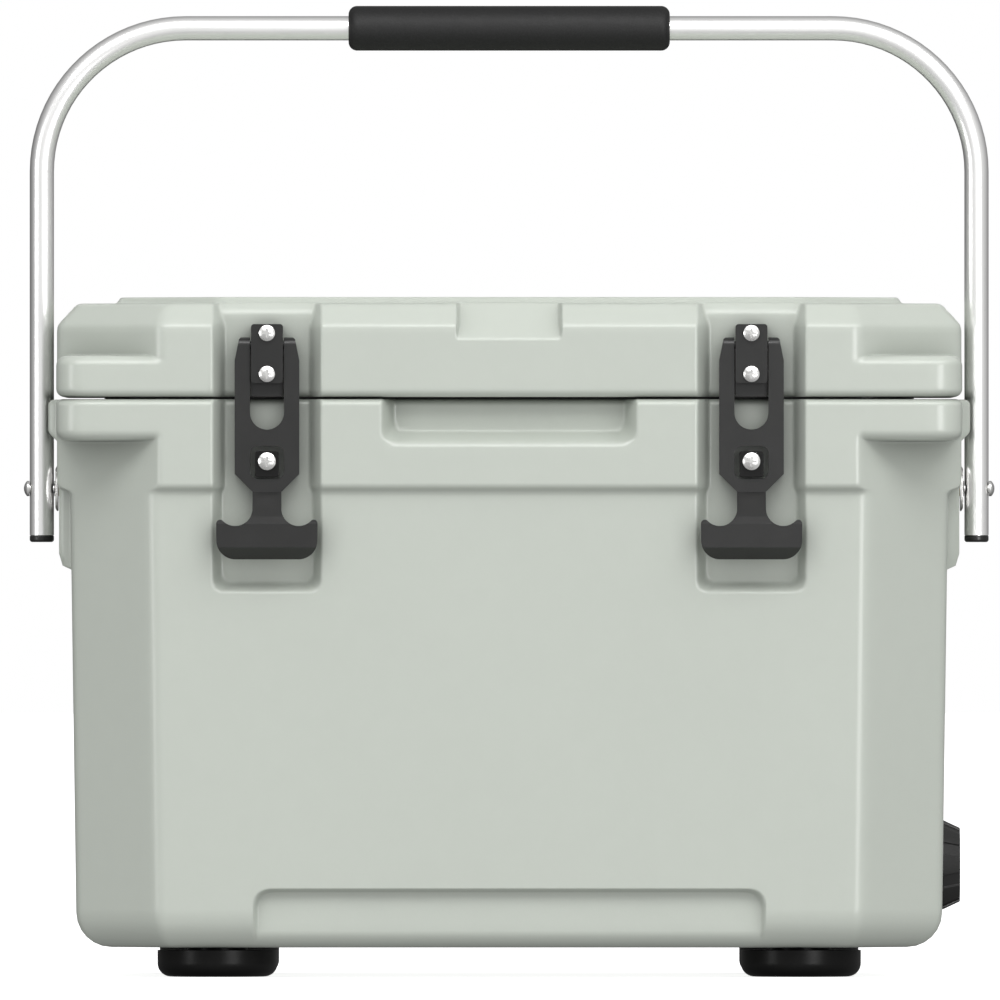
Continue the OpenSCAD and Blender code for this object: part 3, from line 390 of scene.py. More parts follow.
def finish_for(key):
    """The material of that name, made once."""
    if key not in FINISHES:
        shades = bpy.context.scene.cooler_colours
        black = tuple(shades.black)
        tube = node_box("handle_tube")
        makers = {
            "shell": lambda: moulded_shell(tuple(shades.shell)),
            "black": lambda: moulded_black(black),
            "rubber": lambda: soft_rubber(black),
            # the feet's rubber is a darker copy, painted shade for their place under the body
            "foot": lambda: soft_rubber(tint(black, 0.5), "shaded_foot_rubber", 0.12),
            # the keeper's rubber is a darker copy, painted shade for its place deep in the strap's
            # hole
            "keeper": lambda: soft_rubber(tint(black, 0.4), "shaded_keeper_black", 0.2),
            "grip": lambda: foam_grip(tuple(shades.grip)),
            "tube": lambda: brushed_tube(
                tuple(shades.steel), TUBE_BEND * MM,
                (tube.z1 - TUBE_RADIUS) * MM, (tube.x1 - TUBE_RADIUS) * MM),
            "steel": lambda: turned_steel(tuple(shades.steel)),
            "foam": cast_foam,
            "brass": cut_brass,
        }
        FINISHES[key] = makers[key]()
    return FINISHES[key]


# ---------- pieces ----------

SHARP_EDGE = 28         # degrees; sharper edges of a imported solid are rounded
FLAT_EDGE = 0.6         # degrees; edges flatter than this are merged away first
BEVEL_STEPS = 3
MERGE = 2e-6            # metres; loose corners closer than this are one
SEAM_MERGE = 1e-7


def add_piece(name, bm, body, finish, nodes):
    """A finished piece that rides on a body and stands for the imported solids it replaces."""
    bmesh.ops.recalc_face_normals(bm, faces=bm.faces)
    for face in bm.faces:
        face.smooth = True
    mesh = bpy.data.meshes.new(name)
    bm.to_mesh(mesh)
    bm.free()
    mesh.materials.append(finish_for(finish))
    piece = bpy.data.objects.new(name, mesh)
    bpy.context.scene.collection.objects.link(piece)
    piece.modifiers.new("Weighted normals", "WEIGHTED_NORMAL").keep_sharp = True
    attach(piece, body)
    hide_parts(*nodes)


def finish_nodes(finish, *nodes):
    """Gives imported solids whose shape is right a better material."""
    for node in nodes:
        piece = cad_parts[node]
        piece.data.materials.clear()
        piece.data.materials.append(finish_for(finish))


def bevel(bm, edges, width, segments):
    bmesh.ops.bevel(bm, geom=edges, offset=width * MM, offset_type="OFFSET", segments=segments,
                    profile=0.5, affect="EDGES", clamp_overlap=True, material=-1)


def rounded_copy(node, name, body, finish, width):
    """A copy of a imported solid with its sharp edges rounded."""
    bm = bmesh.new()
    bm.from_mesh(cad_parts[node].data)
    bmesh.ops.remove_doubles(bm, verts=bm.verts, dist=MERGE)
    bmesh.ops.dissolve_limit(bm, angle_limit=math.radians(FLAT_EDGE), verts=bm.verts,
                             edges=bm.edges)
    sharp = [edge for edge in bm.edges
             if len(edge.link_faces) == 2 and edge.calc_face_angle() > math.radians(SHARP_EDGE)]
    bevel(bm, sharp, width, BEVEL_STEPS)
    add_piece(name, bm, body, finish, [node])


# ---------- the wrapped shells ----------

# A shell is a grid of columns, which go round the cooler, and rows, which go up it. The walls'
# stations and the rows stand closer together where the surface turns. Lengths are in mm.

SIDE_X = 172.0          # last fixed station of the front and back walls
SIDE_Y = 78.0           # last fixed station of the end walls
ARC_STEP = 15           # degrees between the rows or columns of a rounded edge
HALVINGS = 22           # how finely an outline is found along a ray
EDGE_SHARE = 0.293      # smax's reach, for each unit of rounding, on a 45 degree edge
LEAST_ROUND = 1.5       # of the walls' edges, where an inset eats their rounding up
BLOCK_ROOT = 1.0        # how softly a corner block grows out of the corner face
KNUCKLE_GAP = 0.5       # clearance round a hinge knuckle
BORE_GAP = 0.05         # clearance of the rod in its bore


def smax(a, b, r):
    """The larger of two depths, with the edge between them rounded."""
    h = max(r - abs(a - b), 0) / r
    return max(a, b) + h * h * r / 4


def smin(a, b, r):
    return -smax(-a, -b, r)


def on_arc(centre, r, degrees):
    a = math.radians(degrees)
    return centre[0] + r * math.cos(a), centre[1] + r * math.sin(a)


def round_edge(r):
    """Steps round a quarter-round edge, as how far in and how far short of the top."""
    return [(r * (1 - math.cos(math.radians(a))), r * (1 - math.sin(math.radians(a))))
            for a in range(0, 91, ARC_STEP)]


def between(a, b, t):
    return tuple(p + (q - p) * t for p, q in zip(a, b))


def s_step(u, rise, r):
    """Share of a step's rise at height u above its middle, between two round fillets."""
    half = math.sqrt(r * r - (r - rise / 2) ** 2)
    if abs(u) >= half:
        return float(u > 0)
    part = (r - math.sqrt(r * r - (half - abs(u)) ** 2)) / rise
    return 1 - part if u > 0 else part


class Outline:
    """A plan outline: where its walls stand and end, and its corner in the first quarter."""

    def __init__(self, x, y, sx, sy, corner):
        self.x, self.y, self.sx, self.sy = x, y, sx, sy
        self.corner = [corner(k) for k in range(CORNER_STEPS + 1)]


# stations between the walls and the block's rounding, closer together where the corner face
# begins and where the block's wall leaves it
CORNER_FRONT = (SIDE_X, 173.6, 175, 176.4, 177.6, 178.8, 180, 181.2, 182.4, 183.6, 184.8, 186,
                188, 191, 195, 199.8, 200.5, 207, 214)
CORNER_END = (118, 110, 102, 98, 96, 94.5, 93, 91.5, 90, 88.5, 87, 85.5, 84, 82, 80, SIDE_Y)


def corner_stations():
    """Where the corner's columns meet the outer box, as shares of the way along it."""
    centre = HALF_LENGTH - BLOCK_ROUNDING, HALF_DEPTH - BLOCK_ROUNDING
    arc = [on_arc(centre, BLOCK_ROUNDING, a) for a in range(90, -1, -ARC_STEP)]
    front = [(x, HALF_DEPTH) for x in CORNER_FRONT]
    end = [(HALF_LENGTH, y) for y in CORNER_END]
    return [((x - SIDE_X) / (HALF_LENGTH - SIDE_X), (y - SIDE_Y) / (HALF_DEPTH - SIDE_Y))
            for x, y in front + arc + end]


CORNER_STATIONS = corner_stations()
CORNER_STEPS = len(CORNER_STATIONS) - 1


def traced(x, y, past, sx=SIDE_X, sy=SIDE_Y):
    """An outline whose corner is found along rays; past tells how far outside it a point is."""
    def corner(k):
        dx, dy = CORNER_STATIONS[k][0] * (x - sx), CORNER_STATIONS[k][1] * (y - sy)
        low, high = 0.0, 1.0
        for _ in range(HALVINGS):
            t = (low + high) / 2
            if past(sx + t * dx, sy + t * dy) > 0:
                high = t
            else:
                low = t
        return sx + high * dx, sy + high * dy

    return Outline(x, y, sx, sy, corner)


def past_cut(px, py, x, y, plane, r):
    """How far a point is outside four walls and four corner faces, with edges rounded to r."""
    return smax(max(px - x, py - y), (px + py - plane) / math.sqrt(2), EDGE_SHARE * r)


def past_box(px, py, x, y, r):
    """How far a point is outside a box with corners rounded to r."""
    qx, qy = px - x + r, py - y + r
    return math.hypot(max(qx, 0), max(qy, 0)) + min(max(qx, qy), 0) - r


def chamfered(x, y, plane, r, sx=SIDE_X, sy=SIDE_Y):
    """Four walls and four corner faces; plane is the distance x + y of the corner faces."""
    return traced(x, y, lambda px, py: past_cut(px, py, x, y, plane, r), sx, sy)


def block(inset=0.0):
    """The outline round the square corner blocks."""
    x, y, r = (size - inset for size in (
        HALF_LENGTH, HALF_DEPTH, bpy.context.scene.cooler_body.block_rounding / MM))
    return traced(x, y, lambda px, py: past_box(px, py, x, y, r))


def blocked(x, y, plane, edge, r, inset):
    """A chamfered outline with square blocks at its corners, the blocks moved in by inset."""
    return traced(x, y, lambda px, py: smin(
        past_cut(px, py, x, y, plane, edge),
        past_box(px, py, x - inset, y - inset, max(r - inset, 1)), BLOCK_ROOT))


def rounded(x, y, r):
    """A loop with large round corners, such as the tub's."""
    return Outline(x, y, x - r, y - r,
                   lambda k: on_arc((x - r, y - r), r, 90 - 90 * k / CORNER_STEPS))


class Plan:
    """The columns of a wrapped shell: where each one stands, going round from the front left."""

    def __init__(self, front, back, side):
        self.front, self.back, self.side = (
            [-a for a in reversed(half) if a] + list(half) for half in (front, back, side))
        inner = range(1, CORNER_STEPS)
        self.columns = (
            [("front", a, 0) for a in self.front] + [("corner", (1, -1), k) for k in inner]
            + [("right", a, 0) for a in self.side]
            + [("corner", (1, 1), k) for k in reversed(inner)]
            + [("back", a, 0) for a in reversed(self.back)]
            + [("corner", (-1, 1), k) for k in inner]
            + [("left", a, 0) for a in reversed(self.side)]
            + [("corner", (-1, -1), k) for k in reversed(inner)])

    def ring(self, outline, z):
        """One row of the grid: the outline's points at height z."""
        fx, fy = outline.sx / SIDE_X, outline.sy / SIDE_Y
        row = []
        for wall, a, k in self.columns:
            if wall == "corner":
                x, y = outline.corner[k]
                row.append([a[0] * x, a[1] * y, z])
            elif wall in ("front", "back"):
                row.append([a * fx, outline.y if wall == "back" else -outline.y, z])
            else:
                row.append([outline.x if wall == "right" else -outline.x, a * fy, z])
        return row

    def mixed(self, first, second, t, z):
        """A row part of the way between two outlines."""
        return [list(between(p, q, t)) for p, q in zip(self.ring(first, z), self.ring(second, z))]


def scaled(row, by):
    return [[x * by, y * by, z] for x, y, z in row]


def wrap(rows):
    """A closed shell from a flat grid wrapped round the rows, with its two ends closed."""
    bm = bmesh.new()
    across, up = len(rows[0]), len(rows) - 1
    bmesh.ops.create_grid(bm, x_segments=across, y_segments=up, size=0.5)
    bm.verts.ensure_lookup_table()
    seam = []
    for v in bm.verts:
        i, j = round((v.co.x + 0.5) * across), round((v.co.y + 0.5) * up)
        v.co = Vector(rows[j][i % across]) * MM
        if i in (0, across):
            seam.append(v)
    bmesh.ops.remove_doubles(bm, verts=seam, dist=SEAM_MERGE)
    rims = [edge for edge in bm.edges if edge.is_boundary]
    bmesh.ops.holes_fill(bm, edges=rims, sides=0)
    return bm


def dense(*spans):
    """Stations at even steps: (from, to, step) spans joined."""
    found = []
    for start, end, step in spans:
        count = max(1, round((end - start) / step))
        found += [start + (end - start) * i / count for i in range(count)]
    return sorted(set(round(a, 3) for a in found + [spans[-1][1]]))


def channel_sides(x, width):
    """How deep a latch channel's side walls let a point at x be."""
    return (width / 2 - abs(abs(x) - LATCH_X)) * CHANNEL_SLOPE


def scoop(point):
    """Pushes a point out of the round clearance of a hinge knuckle."""
    r = KNUCKLE_R + KNUCKLE_GAP
    dy, dz = point[1] - HINGE_Y, point[2] - HINGE_Z
    d = math.hypot(dy, dz)
    if 1e-6 < d < r:
        point[1], point[2] = HINGE_Y + dy * r / d, HINGE_Z + dz * r / d


KNUCKLE_ENDS = 25.0, 150.0, 200.0   # where the body's knuckles end, out from the middle
KNUCKLE_SPACE = 0.5     # between a knuckle of the body and one of the lid
KNUCKLE_ARC = 225       # degrees of a knuckle that are round; its web takes the rest
KNUCKLE_WEB = ((-7, -8), (-7, -12), (-4.5, -14.5), (-2, -17), (3.5, -12), (9, -7), (9, -3.5))
KNUCKLE_EDGE = 0.8
BACK_FROM = 100         # only points further back than this are near the hinge


def knuckles(bm, spans, side):
    """Bored hinge knuckles, whose webs run up (side 1) or down (side -1) to the wall."""
    bore = ROD_BOX.z1 - HINGE_Z + BORE_GAP
    outer = [on_arc((0, 0), KNUCKLE_R, a) for a in range(0, KNUCKLE_ARC + 1, ARC_STEP)]
    outer += KNUCKLE_WEB
    outer = [(y, -side * z) for y, z in outer]
    inner = [(y * bore / math.hypot(y, z), z * bore / math.hypot(y, z)) for y, z in outer]
    for x0, x1 in spans:
        loops = []
        for points in (outer, inner):
            ring = [bm.verts.new(Vector((x0, HINGE_Y + y, HINGE_Z + z)) * MM) for y, z in points]
            loops += [bm.edges.new(pair) for pair in zip(ring, ring[1:] + ring[:1])]
        end = bmesh.ops.bridge_loops(bm, edges=loops)["faces"]
        grown = bmesh.ops.extrude_face_region(bm, geom=end, use_keep_orig=True)["geom"]
        far = [item for item in grown if isinstance(item, bmesh.types.BMVert)]
        bmesh.ops.translate(bm, verts=far, vec=((x1 - x0) * MM, 0, 0))
        ends = {*end, *(item for item in grown if isinstance(item, bmesh.types.BMFace))}
        rims = [edge for edge in bm.edges
                if sum(face in ends for face in edge.link_faces) == 1 and all(
                    math.hypot(v.co.y / MM - HINGE_Y, v.co.z / MM - HINGE_Z) > KNUCKLE_R - 1
                    for v in edge.verts)]
        bmesh.ops.recalc_face_normals(bm, faces=bm.faces)
        bevel(bm, rims, KNUCKLE_EDGE, 2)


# cuts in the walls; a slope is how much deeper a cut gets for each mm inwards from its edge
CUT_REACH = 8           # a cut is left out where it ends more than this short of the surface
CHANNEL_SLOPE = 2.5
CHANNEL_FLOOR_ROUND = 2.5
CHANNEL_RIM_ROUND = 2.2

WALL_DRAFT = 0.8        # degrees
TUB_DRAFT = 1.2

BODY_FRONT = dense((0, 45, 15), (45, 57, 4), (57, 69, 0.8), (69, 95, 6.5), (95, 106, 0.7),
                   (106, 120, 5), (120, 136, 1), (136, 146, 5), (146, 157, 0.7),
                   (157, SIDE_X, 5))
BODY_BACK = [0, 12, 22, 24.95, 25.05, 27, 45, 70, 95, 120, 140, 148, 149.95, 150.05, 153, 162,
             SIDE_X]
BODY_SIDE = [0, 3, 5.5, 6.2, 6.9, 7.7, 8.6, 10, 13, 16.5, 19.6, 20.7, 21.4, 22, 22.7, 23.7, 24.8,
             25.7, 26.4, 27.1, 28, 30, 36, 46, 58, 68, SIDE_Y]
WALL_HEIGHTS = dense((35.5, 42.5, 1), (42.5, 49, 0.5), (51, 80, 4), (80, 190, 22),
                     (190, 197, 2.4), (197, 210, 0.9), (210, 214, 2), (214, 246, 7),
                     (246, 250, 1.5), (250, 257.6, 0.5), (257.6, 271.5, 3)) + [275, 277.5]
RIM_HEIGHTS = 287, 289.5, 291.5, 293, 295, 296.6
TUB_HEIGHTS = 280, 240, 180, 120, 90, 84, 79, 74, 69, 64, 61
# across the rim's top: how far in, or what share of the way to the mouth, and how much of the
# pockets, pads and stops is left there
RIM_FADE = (4.5, 1.0), (6.5, 0.9)
MOUTH_FADE = (0.05, 0.75), (0.55, 0.3)
TUB_MOUTH = (2.3, 0.25), (1.0, 0.95), (0.25, 2.1), (0.0, 3.8)   # how far out, how far down
FLOOR_INSETS = 17, 20, 24, 30, 38


def build_body(context):
    s = in_mm(context.scene.cooler_body)
    rim, foot = s.rim_height, BODY_BOX.z0
    belt_foot = rim - s.belt_height - s.belt_step_front
    step_middle, step_fillet = belt_foot + 2.8, 4.0
    wall_x, wall_y = HALF_LENGTH - s.belt_step_end, HALF_DEPTH - s.belt_step_front
    channel_foot = rim - s.channel_drop
    recess_top = foot + s.recess_height
    block_foot = rim - s.block_height
    tub_floor = foot + s.floor_thickness
    tub_corner, floor_round, floor_narrowing = 25, 15, 0.6
    draft = math.tan(math.radians(WALL_DRAFT))
    tub_draft = math.tan(math.radians(TUB_DRAFT))

    plan = Plan(BODY_FRONT, BODY_BACK, BODY_SIDE)

    def drafted(z):
        return max(0.0, belt_foot - z) * draft

    def wall(z, inset=0.0):
        step = s_step(z - step_middle, s.belt_step_front, step_fillet)
        lean = drafted(z)
        edge = s.edge_rounding + (s.belt_edge - s.edge_rounding) * step
        return chamfered(
            wall_x - lean + step * s.belt_step_end - inset,
            wall_y - lean + step * s.belt_step_front - inset,
            wall_x + wall_y - s.corner_cut - 2 * lean - inset * math.sqrt(2),
            max(edge - inset, LEAST_ROUND))

    def corners(inset):
        return blocked(HALF_LENGTH, HALF_DEPTH, wall_x + wall_y - s.corner_cut, s.belt_edge,
                       s.block_rounding, inset)

    def tub(z, inset=0.0):
        lean = (rim - z) * tub_draft
        return rounded(s.tub_length / 2 - lean - inset, s.tub_width / 2 - lean - inset,
                       tub_corner - lean - max(0.0, inset - floor_round) * floor_narrowing)

    channel_foot_length, pocket_end, pocket_foot = 6, 6, 5.4    # lengths of the sloped ends
    channel_corner, pocket_corner, recess_corner = 15, 17, 32
    pocket_floor_round, pocket_rim_round = 2.2, 1.4
    recess_slope, recess_floor_round, recess_rim_round = 3.2, 1, 0.6
    recess_wall = HALF_DEPTH - (wall_y - drafted(recess_top))

    def front_depth(x, z, depth):
        """How far back from the belt's face the front stands, from its depth without cuts."""
        sides = channel_sides(x, s.channel_width)
        if sides > -CUT_REACH:
            low = (z - channel_foot) * s.channel_depth / channel_foot_length
            walls = smin(depth + sides, low, channel_corner)
            depth = smax(depth, smin(s.channel_depth, walls, CHANNEL_FLOOR_ROUND),
                         CHANNEL_RIM_ROUND)
        sides = (s.pocket_length / 2 - abs(x)) * s.pocket_depth / pocket_end
        low = (z - rim + s.pocket_height) * s.pocket_depth / pocket_foot
        if sides > -CUT_REACH and low > -CUT_REACH:
            cut = smin(s.pocket_depth, smin(sides, low, pocket_corner), pocket_floor_round)
            depth = smax(depth, cut, pocket_rim_round)
        sides = (s.recess_length / 2 - abs(x)) * recess_slope
        high = (recess_top - z) * recess_slope
        if sides > -CUT_REACH and high > -CUT_REACH:
            cut = smin(s.recess_depth, smin(sides, high, recess_corner), recess_floor_round)
            depth = smax(depth, recess_wall + cut, recess_rim_round)
        return depth

    end_slope = 3.5
    pad_half, pad_drop, pad_depth, pad_round, pad_zone = 26.75, 42.3, 7, 8.2, 60
    pad_edge, pad_face_edge, pad_root = 3, 2, 1.6
    stop_y, stop_half, stop_foot_edge, stop_face_edge, stop_root = 14.35, 7.5, 2, 1.2, 1
    stops = (-1, BODY_BOX.x1), (1, HALF_LENGTH + 1.85)  # the front one holds the bail upright
    seat_radius, seat_x = 24.8, FLANGE_BOX.x1 - 3.4     # the flat that the drain sits on

    def end_reach(y, z, x, right):
        """How far out an end stands with its pivot pad, stops and drain seat."""
        if z > PIVOT_Z - pad_zone:
            up = z - PIVOT_Z + pad_drop
            end = up * 3
            if up > 0:
                end = pad_depth * math.sqrt(max(0, 1 - (1 - min(up / pad_round, 1)) ** 2))
            pad = smin((pad_half - abs(y)) * end_slope, end, pad_edge) + wall_x
            x = smax(x, smin(HALF_LENGTH, pad, pad_face_edge), pad_root)
        for side, reach in stops:
            grown = smin(HALF_LENGTH + (stop_half - abs(side * y - stop_y)) * end_slope,
                         HALF_LENGTH + z - block_foot + 1, stop_foot_edge)
            x = smax(x, smin(reach, grown, stop_face_edge), stop_root)
        if right and math.hypot(y, z - DRAIN_Z) < seat_radius:
            x = min(x, seat_x)
        return x

    first, second, third = KNUCKLE_ENDS

    def shape(row, z_from=None, fade=1.0):
        """Applies the pockets, pads and stops to a row; the rim's rows take theirs from below."""
        for (wall_name, *_), p in zip(plan.columns, row):
            z = p[2] if z_from is None else z_from
            if wall_name == "front":
                base = p[1] + HALF_DEPTH if z_from is None else 0.0
                p[1] += (front_depth(p[0], z, base) - base) * fade
            elif wall_name in ("right", "left"):
                sign = 1 if wall_name == "right" else -1
                base = sign * p[0] if z_from is None else HALF_LENGTH
                p[0] += sign * (end_reach(p[1], z, base, sign > 0) - base) * fade
            if p[1] > BACK_FROM and first < abs(p[0]) < second:
                scoop(p)
        return row

    def round_foot(floor, r):
        """Steps round the edge above a floor, as a height and how far in from the wall."""
        for a in range(0, 91, ARC_STEP):
            c, n = math.cos(math.radians(a)), math.sin(math.radians(a))
            yield floor + r * (1 - c), r * (1 - n)

    rows = []
    start = plan.ring(wall(foot, s.base_rounding), foot)
    rows += [scaled(start, 0.3), scaled(start, 0.8)]
    rows += [shape(plan.ring(wall(z, inset), z)) for z, inset in round_foot(foot, s.base_rounding)]
    rows += [shape(plan.ring(wall(z), z)) for z in (*WALL_HEIGHTS, block_foot - 0.5)]
    for inset, up in reversed(round_edge(s.block_edge)):
        rows.append(shape(plan.ring(corners(inset), block_foot + up)))
    rows += [shape(plan.ring(block(), z)) for z in RIM_HEIGHTS]
    # the rim's top, where the pockets, pads and stops fade out towards the tub's mouth
    below = rim - 4.2
    for inset, drop in round_edge(s.rim_rounding):
        rows.append(shape(plan.ring(block(inset), rim - drop), below))
    for inset, fade in RIM_FADE:
        rows.append(shape(plan.ring(block(inset), rim), below, fade))
    mouth_edge = 4
    mouth = rounded(s.tub_length / 2 + mouth_edge, s.tub_width / 2 + mouth_edge,
                    tub_corner + mouth_edge)
    for way, fade in MOUTH_FADE:
        rows.append(shape(plan.mixed(block(9), mouth, way, rim), below, fade))
    rows.append(plan.ring(mouth, rim))
    rows += [plan.ring(tub(rim - drop, -grow), rim - drop) for grow, drop in TUB_MOUTH]
    rows += [plan.ring(tub(z), z) for z in TUB_HEIGHTS]
    rows += [plan.ring(tub(z, inset), z)
             for z, inset in reversed(list(round_foot(tub_floor, floor_round)))]
    rows += [plan.ring(tub(tub_floor, inset), tub_floor) for inset in FLOOR_INSETS]
    rows.append(scaled(rows[-1], 0.5))
    bm = wrap(rows)
    knuckles(bm, ((-third, -second), (-first, first), (second, third)), -1)
    add_piece("moulded_body", bm, "body", "shell", ["body_shell"])


LID_FRONT = dense((0, 24, 12), (24, 30, 0.6), (30, 95, 13), (95, 106, 0.7), (106, 146, 10),
                  (146, 157, 0.7), (157, SIDE_X, 5))
LID_BACK = [0, 14, 25.45, 25.55, 40, 70, 100, 130, 149.4, 149.5, 160, SIDE_X]
LID_SIDE = [0, 20, 40, 60, 69, 74, SIDE_Y]
PANEL_X, PANEL_Y = 148, 52      # where the raised panel's straight walls end
LID_HEIGHTS = 307.2, 309, 311, 314
LID_CORNER_HEIGHTS = [324.6, 326.2] + dense((328.2, 336, 0.9))
# profiles, as how far in or out and how far up or down
PLUG_EDGE = (3.0, 0.0), (1.6, 0.3), (0.6, 1.1), (0.1, 2.3), (0.0, 3.8), (0.0, 9.0)
PLUG_ROOT = (0.15, 1.2), (0.9, 0.3), (2.2, 0.0)
BAND_FOOT = (0.15, -2.9), (0.27, -1.9), (0.65, -0.9), (1.25, 0.1), (2.05, 1.1), (2.95, 2.1)
BAND = (5.0, 4.4), (7.4, 6.8)
BAND_TOP = (8.8, 1.9), (9.7, 1.15), (10.8, 0.5), (12.1, 0.12), (13.4, 0.0)
PANEL_EDGE = (-1.6, 0.0), (-0.6, 0.12), (0.2, 0.5), (0.9, 1.3), (1.6, 2.3), (2.2, 3.0)


def build_lid(context):
    body = in_mm(context.scene.cooler_body)
    s = in_mm(context.scene.cooler_lid)
    groove_top, groove_depth, groove_edge = GASKET_BOX.z1, 3.2, 0.3
    low = groove_top - groove_depth
    top = low + s.lid_height
    bevel_foot = top - s.bevel
    plane = HALF_LENGTH + HALF_DEPTH - s.corner_cut
    block_top = low + s.block_height
    notch_foot, notch_slope, notch_corner, notch_rim_round = top - s.notch_drop, 5, 5, 1.2
    channel_break, channel_break_round = 4, 2   # near its top a channel's floor slopes back

    plan = Plan(LID_FRONT, LID_BACK, LID_SIDE)

    def side(inset=0.0):
        return chamfered(HALF_LENGTH - inset, HALF_DEPTH - inset, plane - inset * math.sqrt(2),
                         body.edge_rounding)

    def corners(inset):
        return blocked(HALF_LENGTH, HALF_DEPTH, plane, body.edge_rounding, body.block_rounding,
                       inset)

    def front_depth(x, z, depth):
        """How far back from the front's face the lid stands, from its depth without cuts."""
        sides = channel_sides(x, body.channel_width)
        if sides > -CUT_REACH:
            broken = body.channel_depth + z - top + channel_break
            floor = smax(body.channel_depth, broken, channel_break_round)
            depth = smax(depth, smin(floor, depth + sides, CHANNEL_FLOOR_ROUND),
                         CHANNEL_RIM_ROUND)
        sides = (s.notch_length / 2 - abs(x)) * notch_slope
        if sides > -CUT_REACH:
            cut = smin(z - notch_foot, depth + sides, notch_corner)
            depth = smax(depth, cut, notch_rim_round)
        return depth

    first, second, third = KNUCKLE_ENDS
    scoop_top = 315         # no knuckle reaches higher than this

    def near_body_knuckle(x):
        return (abs(x) < first + KNUCKLE_SPACE
                or second - KNUCKLE_SPACE - 1e-6 < abs(x) < third + 0.3)

    def shape(row, z_from=None, base=0.0, fade=1.0):
        """Applies the channels and the notch to a row, or those at height z_from."""
        for (wall_name, *_), p in zip(plan.columns, row):
            if wall_name == "front":
                z = p[2] if z_from is None else z_from
                depth = p[1] + HALF_DEPTH if z_from is None else base
                p[1] += (front_depth(p[0], z, depth) - depth) * fade
            if p[1] > BACK_FROM and p[2] < scoop_top and near_body_knuckle(p[0]):
                scoop(p)
        return row

    plug_gap, plug_corner, plug_flat = 4, 21, 6
    plug_x, plug_y = body.tub_length / 2 - plug_gap, body.tub_width / 2 - plug_gap
    groove_width, groove_corner = 9, 30

    def plug(inset=0.0):
        return rounded(plug_x - inset, plug_y - inset, plug_corner - inset)

    def groove(inset=0.0):
        return rounded(GASKET_BOX.x1 - inset, GASKET_BOX.y1 - inset, groove_corner - inset)

    rows = []
    base = LID_BOX.z0
    start = plan.ring(plug(plug_flat), base)
    rows += [scaled(start, 0.3), scaled(start, 0.85), start]
    rows += [plan.ring(plug(inset), base + up) for inset, up in PLUG_EDGE]
    rows += [plan.ring(plug(-grow), low - drop) for grow, drop in PLUG_ROOT]
    rows += [plan.ring(groove(inset), z) for inset, z in (
        (groove_width + groove_edge, low), (groove_width, low + groove_edge),
        (groove_width, groove_top), (0, groove_top), (0, low + groove_edge),
        (-groove_edge, low))]
    # the lower edge, whose channels are those a little above it
    above = low + 5
    rows.append(shape(plan.mixed(groove(-1), block(8), 0.6, low), above, fade=0.5))
    rows.append(shape(plan.ring(block(7), low), above, fade=0.9))
    rows.append(shape(plan.ring(block(5.2), low), above))
    for inset, up in reversed(round_edge(s.lower_rounding)):
        rows.append(shape(plan.ring(block(inset), low + up), above))
    rows += [shape(plan.ring(block(), z)) for z in LID_HEIGHTS]
    for inset, drop in round_edge(s.block_edge):
        rows.append(shape(plan.ring(corners(inset), block_top - drop)))
    rows += [shape(plan.ring(side(), z)) for z in (block_top + 0.4, *LID_CORNER_HEIGHTS)]
    # the sloped band with a round edge below and above it
    rows += [shape(plan.ring(side(inset), bevel_foot + up)) for inset, up in BAND_FOOT + BAND]
    rows += [shape(plan.ring(side(inset), top - drop)) for inset, drop in BAND_TOP]
    # the flat round the panel, where the channels fade out
    flat = BAND_TOP[-1][0]
    rows.append(shape(plan.ring(side(15), top), top, flat))
    rows.append(shape(plan.ring(side(18.5), top), top, flat, 0.6))
    rows.append(plan.ring(side(23), top))

    panel_x, panel_y = s.panel_length / 2, s.panel_width / 2

    def panel(inset):
        return chamfered(panel_x - inset, panel_y - inset,
                         panel_x + panel_y - s.corner_cut - inset * math.sqrt(2),
                         body.edge_rounding, PANEL_X, PANEL_Y)

    rise = LID_BOX.z1 - top
    for inset, up in (*PANEL_EDGE, (3.0, rise - 0.06), (4.2, rise), (7, rise)):
        rows.append(plan.ring(panel(inset), top + up))
    rows += [scaled(rows[-1], 0.8), scaled(rows[-1], 0.25)]
    bm = wrap(rows)
    from_x, to_x = first + KNUCKLE_SPACE, second - KNUCKLE_SPACE
    knuckles(bm, ((-to_x, -from_x), (from_x, to_x)), 1)
    add_piece("moulded_lid", bm, "lid", "shell", ["lid_shell"])


# ---------- operators ----------

class COOLER_OT_body(bpy.types.Operator):
    """Build the moulded body with its tub, latch channels, pockets and hinge knuckles"""
    bl_idname = "cooler.body"
    bl_label = "Body"

    def execute(self, context):
        build_body(context)
        return {"FINISHED"}


class COOLER_OT_lid(bpy.types.Operator):
    """Build the moulded lid with its raised panel, plug, notch and hinge knuckles"""
    bl_idname = "cooler.lid"
    bl_label = "Lid"

    def execute(self, context):
        build_lid(context)
        return {"FINISHED"}


class COOLER_OT_cores(bpy.types.Operator):
    """Finish what lies inside or between the shells: foam, threaded inserts and gasket"""
    bl_idname = "cooler.cores"
    bl_label = "Cores and gasket"

    def execute(self, context):
        finish_nodes("foam", "body_foam", "lid_foam")
        finish_nodes("brass", "body_inserts", "lid_inserts")
        finish_nodes("rubber", "lid_gasket")
        return {"FINISHED"}


class COOLER_OT_latches(bpy.types.Operator):
    """Build the rubber latches with their brackets, keepers, pins and screws"""
    bl_idname = "cooler.latches"
    bl_label = "Latches"

    def execute(self, context):
        for side in ("left", "right"):
            rounded_copy("latch_strap_" + side, "strap_" + side, "latch_" + side,
                         "rubber", 0.9)
            rounded_copy("latch_bracket_" + side, "bracket_" + side, "lid",
                         "black", 0.7)
            rounded_copy("keeper_" + side, "keeper_block_" + side, "body",
                         "keeper", 0.7)
            finish_nodes("steel", "bracket_screws_" + side)
            finish_nodes("black", "latch_pin_" + side)
        finish_nodes("steel", "keeper_screws")
        return {"FINISHED"}


